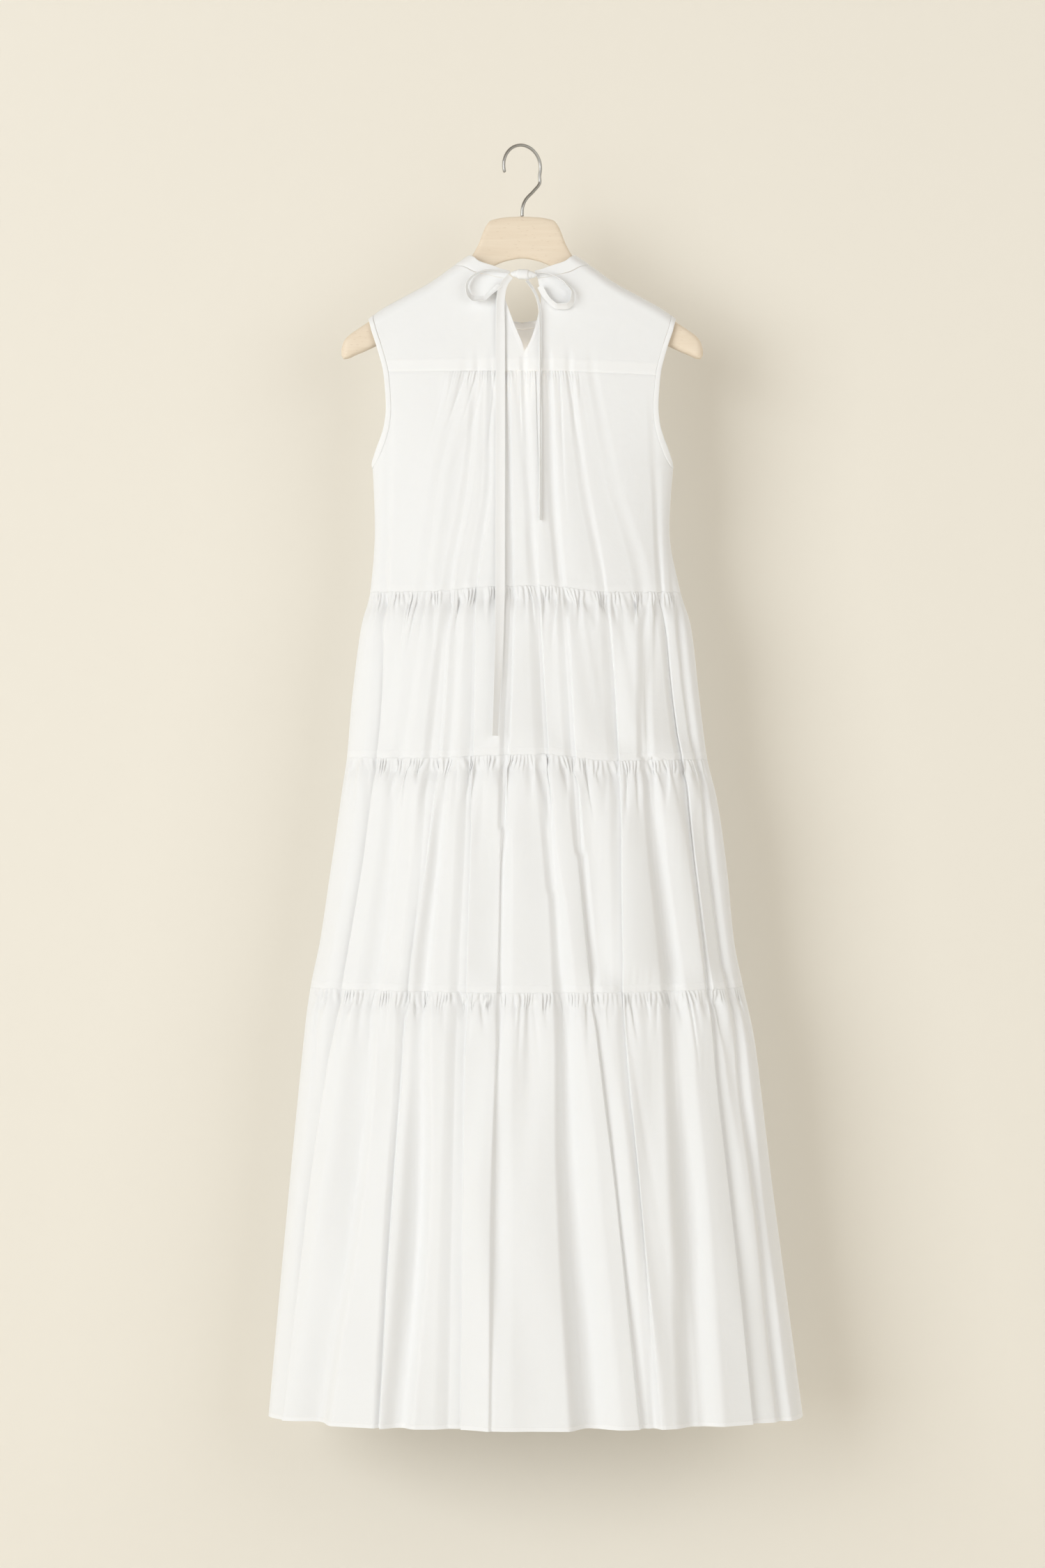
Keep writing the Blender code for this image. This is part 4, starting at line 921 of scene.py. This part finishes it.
def stitch_nodes():
    """A node tree that lays small thread stitches along curves."""
    tree = bpy.data.node_groups.new("stitches_along_a_line", "GeometryNodeTree")
    tree.interface.new_socket("Geometry", in_out="INPUT", socket_type="NodeSocketGeometry")
    for name, default in (("Pitch", 0.0025), ("Stitch Length", 0.0018), ("Thread", 0.00035)):
        tree.interface.new_socket(name, in_out="INPUT", socket_type="NodeSocketFloat").default_value = default
    tree.interface.new_socket("Finish", in_out="INPUT", socket_type="NodeSocketMaterial")
    tree.interface.new_socket("Geometry", in_out="OUTPUT", socket_type="NodeSocketGeometry")
    add = tree.nodes.new
    start, end = add("NodeGroupInput"), add("NodeGroupOutput")
    spaced = add("GeometryNodeResampleCurve")
    spaced.mode = "LENGTH"
    tangent = add("GeometryNodeInputTangent")
    turned = add("FunctionNodeAlignRotationToVector")
    turned.axis = "X"
    bead = add("GeometryNodeMeshIcoSphere")
    bead.inputs["Radius"].default_value = 0.5
    size = add("ShaderNodeCombineXYZ")
    placed = add("GeometryNodeInstanceOnPoints")
    real = add("GeometryNodeRealizeInstances")
    finished = add("GeometryNodeSetMaterial")
    for source, output, target, socket in (
        (start, "Geometry", spaced, "Curve"),
        (start, "Pitch", spaced, "Length"),
        (spaced, "Curve", placed, "Points"),
        (bead, "Mesh", placed, "Instance"),
        (tangent, "Tangent", turned, "Vector"),
        (turned, "Rotation", placed, "Rotation"),
        (start, "Stitch Length", size, "X"),
        (start, "Thread", size, "Y"),
        (start, "Thread", size, "Z"),
        (size, "Vector", placed, "Scale"),
        (placed, "Instances", real, "Geometry"),
        (real, "Geometry", finished, "Geometry"),
        (start, "Finish", finished, "Material"),
        (finished, "Geometry", end, "Geometry"),
    ):
        tree.links.new(source.outputs[output], target.inputs[socket])
    return tree


def stitch_rows(name, lines, tree, finish):
    """Stitches along lines of points on the cloth."""
    curve = bpy.data.curves.new(name + "_lines", "CURVE")
    curve.dimensions = "3D"
    for line in lines:
        spline = curve.splines.new("POLY")
        spline.points.add(len(line) - 1)
        spline.points.foreach_set("co", np.concatenate([line * MM, np.ones((len(line), 1))], axis=1).ravel())
    guide = in_scene(name + "_guide", curve)
    modifier = guide.modifiers.new("stitches", "NODES")
    modifier.node_group = tree
    for item in tree.interface.items_tree:
        if item.in_out == "INPUT" and item.name == "Finish":
            modifier[item.identifier] = finish
    evaluated = guide.evaluated_get(bpy.context.evaluated_depsgraph_get())
    mesh = bpy.data.meshes.new_from_object(evaluated)
    guide.modifiers.remove(modifier)
    bpy.data.objects.remove(guide)
    mesh.name = name
    if not mesh.materials:
        mesh.materials.append(finish)
    return in_scene(name, mesh)


def line_above_edge(piece, columns, row_share):
    """Points on a cloth's outer side, between two of its rows of points counted from its lower edge."""
    count = len(piece.data.vertices) // 2
    points = np.empty(len(piece.data.vertices) * 3)
    piece.data.vertices.foreach_get("co", points)
    outer = points.reshape(-1, 3)[:count].reshape(-1, columns, 3) / MM
    upper, lower = outer[-2 - int(row_share)], outer[-1 - int(row_share)]
    return between(lower, upper, row_share % 1)


# Finishes

def group(name, inputs, outputs):
    """A shader node group with the named float, vector or colour sockets."""
    tree = bpy.data.node_groups.new(name, "ShaderNodeTree")
    for title, kind, default in inputs:
        socket = tree.interface.new_socket(title, in_out="INPUT", socket_type="NodeSocket" + kind)
        if default is not None:
            socket.default_value = default
    for title, kind in outputs:
        tree.interface.new_socket(title, in_out="OUTPUT", socket_type="NodeSocket" + kind)
    return tree, tree.nodes.new("NodeGroupInput"), tree.nodes.new("NodeGroupOutput")


def math_node(tree, operation, a, b=0.0, c=None):
    node = tree.nodes.new("ShaderNodeMath")
    node.operation = operation
    for socket, value in zip(node.inputs, (a, b, c)):
        if isinstance(value, bpy.types.NodeSocket):
            tree.links.new(value, socket)
        elif value is not None:
            socket.default_value = value
    return node.outputs[0]


def object_place(tree):
    return tree.nodes.new("ShaderNodeTexCoord").outputs["Object"]


def noise(tree, vector, scale, detail=2.0, stretch=(1, 1, 1)):
    """Fine noise between 0 and 1 over the coordinates."""
    mapping = tree.nodes.new("ShaderNodeMapping")
    mapping.inputs["Scale"].default_value = stretch
    tree.links.new(vector, mapping.inputs["Vector"])
    node = tree.nodes.new("ShaderNodeTexNoise")
    node.inputs["Scale"].default_value = scale
    node.inputs["Detail"].default_value = detail
    tree.links.new(mapping.outputs[0], node.inputs["Vector"])
    return node.outputs["Fac"]


def plain_weave():
    """Warp and weft of poplin on the cloth's own measure: a height, and a mask of slightly thicker threads."""
    tree, start, end = group(
        "plain_weave",
        [("Cloth", "Vector", None), ("Threads per mm", "Float", 3.2), ("Rib", "Float", 1.7)],
        [("Height", "Float"), ("Slub", "Float")],
    )
    split = tree.nodes.new("ShaderNodeSeparateXYZ")
    tree.links.new(start.outputs["Cloth"], split.inputs[0])
    pitch = math_node(tree, "MULTIPLY", start.outputs["Threads per mm"], 1000 * math.pi)
    warp = math_node(tree, "SINE", math_node(tree, "MULTIPLY", split.outputs["X"], pitch))
    across = math_node(tree, "MULTIPLY", math_node(tree, "MULTIPLY", split.outputs["Y"], pitch), start.outputs["Rib"])
    weft = math_node(tree, "SINE", across)
    crossing = math_node(tree, "MULTIPLY", warp, weft)
    thick_weft = noise(tree, start.outputs["Cloth"], 60.0, 1.0, (1, 22, 1))
    thick_warp = noise(tree, start.outputs["Cloth"], 60.0, 1.0, (22, 1, 1))
    slub = math_node(tree, "MULTIPLY", math_node(tree, "ADD", thick_weft, thick_warp), 0.5)
    height = math_node(tree, "MULTIPLY_ADD", crossing, 0.5, math_node(tree, "MULTIPLY", slub, 0.9))
    tree.links.new(height, end.inputs["Height"])
    tree.links.new(slub, end.inputs["Slub"])
    return tree


def handled_cloth():
    """Soft unevenness of pressed and handled cotton: small wrinkles and a faint change of tone."""
    tree, start, end = group(
        "handled_cloth",
        [("Place", "Vector", None), ("Wrinkle Size", "Float", 38.0)],
        [("Height", "Float"), ("Tone", "Float")],
    )
    broad = tree.nodes.new("ShaderNodeTexNoise")
    broad.inputs["Detail"].default_value = 3.0
    broad.inputs["Distortion"].default_value = 0.6
    tree.links.new(start.outputs["Place"], broad.inputs["Vector"])
    tree.links.new(start.outputs["Wrinkle Size"], broad.inputs["Scale"])
    tone = noise(tree, start.outputs["Place"], 9.0, 2.0)
    tree.links.new(broad.outputs["Fac"], end.inputs["Height"])
    tree.links.new(tone, end.inputs["Tone"])
    return tree


def finish_of(name, colour, roughness, metallic=0.0):
    made = bpy.data.materials.new(name)
    made.use_nodes = True
    tree = made.node_tree
    shader = tree.nodes["Principled BSDF"]
    shader.inputs["Base Color"].default_value = (*colour, 1)
    shader.inputs["Roughness"].default_value = roughness
    shader.inputs["Metallic"].default_value = metallic
    return made, tree, shader


def tinted(tree, factor, low, high):
    """A colour between two, by a mask."""
    mix = tree.nodes.new("ShaderNodeMix")
    mix.data_type = "RGBA"
    tree.links.new(factor, mix.inputs["Factor"])
    for socket, value in (("A", low), ("B", high)):
        target = [one for one in mix.inputs if one.name == socket and one.type == "RGBA"][0]
        if isinstance(value, bpy.types.NodeSocket):
            tree.links.new(value, target)
        else:
            target.default_value = (*value, 1)
    return [one for one in mix.outputs if one.type == "RGBA"][0]


def bumped(tree, shader, height, distance, strength):
    bump = tree.nodes.new("ShaderNodeBump")
    bump.inputs["Distance"].default_value = distance
    bump.inputs["Strength"].default_value = strength
    tree.links.new(height, bump.inputs["Height"])
    tree.links.new(bump.outputs["Normal"], shader.inputs["Normal"])


def placed_group(tree, effect, coordinates):
    node = tree.nodes.new("ShaderNodeGroup")
    node.node_tree = effect
    tree.links.new(coordinates, node.inputs[0])
    return node


HANDLED_TINT, THREAD_TINT = (0.8, 0.79, 0.77), (0.74, 0.73, 0.71)


def cotton_poplin(name, weave, handled, thin, thick):
    """White cotton that is whiter where a turned edge lies behind it."""
    made, tree, shader = finish_of(name, thin, 0.8)
    place = object_place(tree)
    measure = tree.nodes.new("ShaderNodeUVMap")
    measure.uv_map = "cloth"
    threads = placed_group(tree, weave, measure.outputs["UV"])
    wrinkles = placed_group(tree, handled, place)
    doubled = tree.nodes.new("ShaderNodeAttribute")
    doubled.attribute_name = "doubled"
    base = tinted(tree, doubled.outputs["Fac"], thin, thick)
    tone = math_node(tree, "MULTIPLY_ADD", wrinkles.outputs["Tone"], 0.5, 0.2)
    uneven = tinted(tree, math_node(tree, "MULTIPLY", tone, 0.12), base, HANDLED_TINT)
    threaded = tinted(tree, math_node(tree, "MULTIPLY", threads.outputs["Slub"], 0.06), uneven, THREAD_TINT)
    tree.links.new(threaded, shader.inputs["Base Color"])
    rough = math_node(tree, "MULTIPLY_ADD", threads.outputs["Slub"], 0.12, 0.72)
    tree.links.new(rough, shader.inputs["Roughness"])
    height = math_node(tree, "MULTIPLY_ADD", threads.outputs["Height"], 0.045, wrinkles.outputs["Height"])
    bumped(tree, shader, height, 0.0012, 0.5)
    for title, value in (("Subsurface Weight", 0.2), ("Subsurface Radius", (1, 0.96, 0.9)),
                         ("Subsurface Scale", 0.0005), ("Sheen Weight", 0.12), ("Sheen Roughness", 0.5),
                         ("Specular IOR Level", 0.25)):
        shader.inputs[title].default_value = value
    return made


def sewing_thread():
    made, tree, shader = finish_of("sewing_thread", (0.9, 0.89, 0.86), 0.6)
    place = object_place(tree)
    twist = noise(tree, place, 2600.0, 1.0)
    tree.links.new(tinted(tree, twist, (0.84, 0.83, 0.79), (0.93, 0.92, 0.89)), shader.inputs["Base Color"])
    bumped(tree, shader, twist, 0.0002, 0.5)
    return made


def pale_beech():
    """Smooth matt beech, its grain running along the hanger with short darker flecks."""
    made, tree, shader = finish_of("pale_beech", (0.8, 0.68, 0.53), 0.5)
    place = object_place(tree)
    grain = noise(tree, place, 30.0, 4.0, (0.35, 6, 6))
    fine = noise(tree, place, 260.0, 2.0, (0.12, 2.5, 2.5))
    fleck = tree.nodes.new("ShaderNodeTexVoronoi")
    mapping = tree.nodes.new("ShaderNodeMapping")
    mapping.inputs["Scale"].default_value = (90, 420, 420)
    tree.links.new(place, mapping.inputs["Vector"])
    tree.links.new(mapping.outputs[0], fleck.inputs["Vector"])
    fleck.inputs["Scale"].default_value = 1.0
    dots = math_node(tree, "LESS_THAN", fleck.outputs["Distance"], 0.16)
    wood = tinted(tree, grain, (0.78, 0.65, 0.5), (0.9, 0.8, 0.66))
    wood = tinted(tree, math_node(tree, "MULTIPLY", fine, 0.35), wood, (0.74, 0.6, 0.45))
    wood = tinted(tree, math_node(tree, "MULTIPLY", dots, 0.25), wood, (0.55, 0.4, 0.27))
    tree.links.new(wood, shader.inputs["Base Color"])
    tree.links.new(math_node(tree, "MULTIPLY_ADD", fine, 0.2, 0.42), shader.inputs["Roughness"])
    bumped(tree, shader, fine, 0.0004, 0.35)
    return made


def satin_nickel():
    """Satin steel wire with fine drawing marks along it."""
    made, tree, shader = finish_of("satin_nickel", (0.42, 0.41, 0.39), 0.3, 1.0)
    place = object_place(tree)
    marks = noise(tree, place, 900.0, 2.0, (1, 1, 0.3))
    cloudy = noise(tree, place, 60.0, 2.0)
    tree.links.new(tinted(tree, cloudy, (0.36, 0.35, 0.33), (0.48, 0.47, 0.45)), shader.inputs["Base Color"])
    tree.links.new(math_node(tree, "MULTIPLY_ADD", marks, 0.22, 0.2), shader.inputs["Roughness"])
    bumped(tree, shader, marks, 0.0002, 0.3)
    return made


def painted(name, colour, seen_from_behind=True):
    """The matt paint of the backdrop; from behind it isn't seen, and it keeps no light from the front."""
    made, tree, shader = finish_of(name, colour, 0.9)
    place = object_place(tree)
    tree.links.new(tinted(tree, noise(tree, place, 1.2, 2.0), colour, [0.985 * c for c in colour]),
                   shader.inputs["Base Color"])
    if seen_from_behind:
        return made
    clear = tree.nodes.new("ShaderNodeBsdfTransparent")
    mix = tree.nodes.new("ShaderNodeMixShader")
    behind = tree.nodes.new("ShaderNodeNewGeometry").outputs["Backfacing"]
    shadow = tree.nodes.new("ShaderNodeLightPath").outputs["Is Shadow Ray"]
    tree.links.new(math_node(tree, "MAXIMUM", behind, shadow), mix.inputs[0])
    tree.links.new(shader.outputs[0], mix.inputs[1])
    tree.links.new(clear.outputs[0], mix.inputs[2])
    tree.links.new(mix.outputs[0], tree.nodes["Material Output"].inputs["Surface"])
    return made


# The studio

# The camera and the lamps are placed in metres, and the wall and the floor in millimetres.
CAMERA_ACROSS, CAMERA_AWAY, CAMERA_DROP, CAMERA_LENS, CAMERA_SENSOR = 0.0004, 4.3, 0.7316, 86, 36
WALL_AWAY, WALL_TOP, FLOOR_DROP, FLOOR_HALF, STAGE_HALF = 120, 3500, 1800, 7000, 6000
CREAM, PALE = (0.84, 0.795, 0.71), (0.86, 0.84, 0.8)
Lamp = namedtuple("Lamp", "name place aim size power")
LAMPS = rows_of(Lamp, (
    ("key", (-4.4, -4.9, 0.4), (0, 0, -0.8), 4.2, 255),
    ("fill", (2.7, -3.3, 0.1), (0, 0, -0.8), 3, 49),
    ("behind", (1.2, 3.2, 0.9), (0, 0, -0.6), 2.6, 50),
))
# Stands in for the light that the thin cloth lets into the bodice.
INSIDE = Lamp("inside", (0.004, 0, -0.275), None, 0.012, 0.055)
LAMP_COLOUR, INSIDE_COLOUR = (0.91, 0.96, 1), (1, 0.9, 0.76)
AMBIENT_COLOUR, AMBIENT_STRENGTH = (1, 0.87, 0.69, 1), 0.365


def add_lamp(lamp, kind, colour):
    light = in_scene(lamp.name, bpy.data.lights.new(lamp.name, kind))
    if kind == "AREA":
        light.data.size = lamp.size
        light.rotation_euler = (Vector(lamp.aim) - Vector(lamp.place)).to_track_quat("-Z", "Y").to_euler()
    else:
        light.data.shadow_soft_size = lamp.size
    light.data.energy = lamp.power
    light.data.color = colour
    light.location = lamp.place
    light.visible_camera = False


def painted_plane(name, edges, paint):
    """A plane across the stage between two edges, each at a height and a depth."""
    (low, near), (high, far) = edges
    corners = [(-STAGE_HALF, near, low), (STAGE_HALF, near, low), (STAGE_HALF, far, high), (-STAGE_HALF, far, high)]
    return make_piece(name, np.array(corners, float), [(0, 1, 2, 3)], paint, smooth=False)


def add_studio():
    camera = in_scene("camera", bpy.data.cameras.new("camera"))
    camera.location = (CAMERA_ACROSS, -CAMERA_AWAY, -CAMERA_DROP)
    camera.rotation_euler = (math.pi / 2, 0, 0)
    camera.data.lens = CAMERA_LENS
    camera.data.sensor_width = CAMERA_SENSOR
    camera.data.clip_end = 60
    bpy.context.scene.camera = camera

    wall = painted_plane("backdrop", ((-FLOOR_DROP, WALL_AWAY), (WALL_TOP, WALL_AWAY)),
                         painted("cream_backdrop", CREAM, False))
    floor = painted_plane("floor", ((-FLOOR_DROP, -FLOOR_HALF), (-FLOOR_DROP, FLOOR_HALF)),
                          painted("pale_floor", PALE))

    for lamp in LAMPS:
        add_lamp(lamp, "AREA", LAMP_COLOUR)
    add_lamp(INSIDE, "POINT", INSIDE_COLOUR)
    bpy.context.scene.view_settings.view_transform = "Standard"
    world = bpy.data.worlds.new("pale_surroundings")
    bpy.context.scene.world = world
    world.use_nodes = True
    background = world.node_tree.nodes["Background"]
    background.inputs["Color"].default_value = AMBIENT_COLOUR
    background.inputs["Strength"].default_value = AMBIENT_STRENGTH


# Each sheet as it was cut: width and length in metres, its area where that isn't a rectangle, and what carries it.
Cut = namedtuple("Cut", "piece width length area held carried_by")
CUTS = rows_of(Cut, (
    ("yoke", 0.36, 0.13, 0.034, "hung", "wooden_hanger"),
    ("bodice_front", 0.38, 0.42, 0.115, "hung", "wooden_hanger"),
    ("bodice_back", 0.42, 0.26, 0.09, "gathered", "yoke"),
    ("neck_binding", 0.5, 0.011, 0, "folded", "yoke"),
    ("armhole_binding_l", 0.42, 0.012, 0.0027, "folded", "yoke"),
    ("armhole_binding_r", 0.42, 0.012, 0.0027, "folded", "yoke"),
    ("bow_loop_left", 0.12, 0.01, 0, "folded", "bow_knot"),
    ("bow_loop_right", 0.11, 0.01, 0, "folded", "bow_knot"),
    ("bow_end_left", 0.55, 0.011, 0, "hung", "bow_knot"),
    ("bow_end_right", 0.28, 0.01, 0, "hung", "bow_knot"),
    ("tier_1_panel_back", 0.5, 0.19, 0, "gathered", "bodice_back"),
    ("tier_1_panel_front", 0.48, 0.19, 0, "gathered", "bodice_front"),
    ("tier_2_panel_back", 0.59, 0.264, 0, "gathered", "tier_1_panel_back"),
    ("tier_2_panel_front", 0.57, 0.264, 0, "gathered", "tier_1_panel_front"),
    ("tier_3_panel_back", 0.72, 0.49, 0, "gathered", "tier_2_panel_back"),
    ("tier_3_panel_front", 0.7, 0.49, 0, "gathered", "tier_2_panel_front"),
))


def declare_cloth(made):
    pieces = {piece.name: piece for piece in made}
    for cut in CUTS:
        extra = {"area": cut.area} if cut.area else {}
        if cut.piece == "tier_3_panel_back":
            extra["with_pieces"] = [pieces["hem_stitches"]]


def main():
    add_studio()
    weave, handled = plain_weave(), handled_cloth()
    cotton = cotton_poplin("white_poplin", weave, handled, (0.875, 0.88, 0.888), (0.905, 0.908, 0.914))
    bound = cotton_poplin("folded_poplin", weave, handled, (0.885, 0.888, 0.894), (0.9, 0.902, 0.908))
    thread, beech, nickel = sewing_thread(), pale_beech(), satin_nickel()
    made = []

    def keep(piece, *nodes, slot="white_cotton"):
        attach(piece, "root")
        if nodes:
            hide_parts(*nodes)
        made.append(piece)
        return piece

    keep(wooden_hanger(beech), "hanger_body", slot="pale_wood")
    keep(wire_hook(nickel), "hanger_hook", slot="satin_steel")
    keep(back_yoke(cotton), "back_yoke")
    keep(back_bodice(cotton), "back_bodice")
    keep(front_bodice(cotton), "front_bodice")
    keep(neckband(bound), "neckband")
    for end, side in ((LEFT, "left"), (RIGHT, "right")):
        keep(armhole_binding(end, bound), f"armhole_binding_{side}")
    keep(tie_knot(bound), "tie_knot")
    keep(ribbon("bow_loop_left", LOOP_LEFT, bound, 90), "tie_loop_left")
    keep(ribbon("bow_loop_right", LOOP_RIGHT, bound, 90), "tie_loop_right")
    keep(ribbon("bow_end_left", TAIL_LEFT, bound, 200), "tie_tail_left")
    keep(ribbon("bow_end_right", TAIL_RIGHT, bound, 110), "tie_tail_right")
    panels = []
    for tier in TIERS:
        for side, facing in ((BACK, "back"), (FRONT, "front")):
            panels.append(keep(tier_panel(tier, side, cotton), f"{tier.name}_{facing}"))

    tree = stitch_nodes()
    hem_lines = [line_above_edge(panel, len(tier_columns(TIERS[-1], side)[0]), HEM_STITCH_ROW)
                 for panel, side in zip(panels[-2:], (BACK, FRONT))]
    keep(stitch_rows("hem_stitches", hem_lines, tree, thread))

    declare_cloth(made)


main()
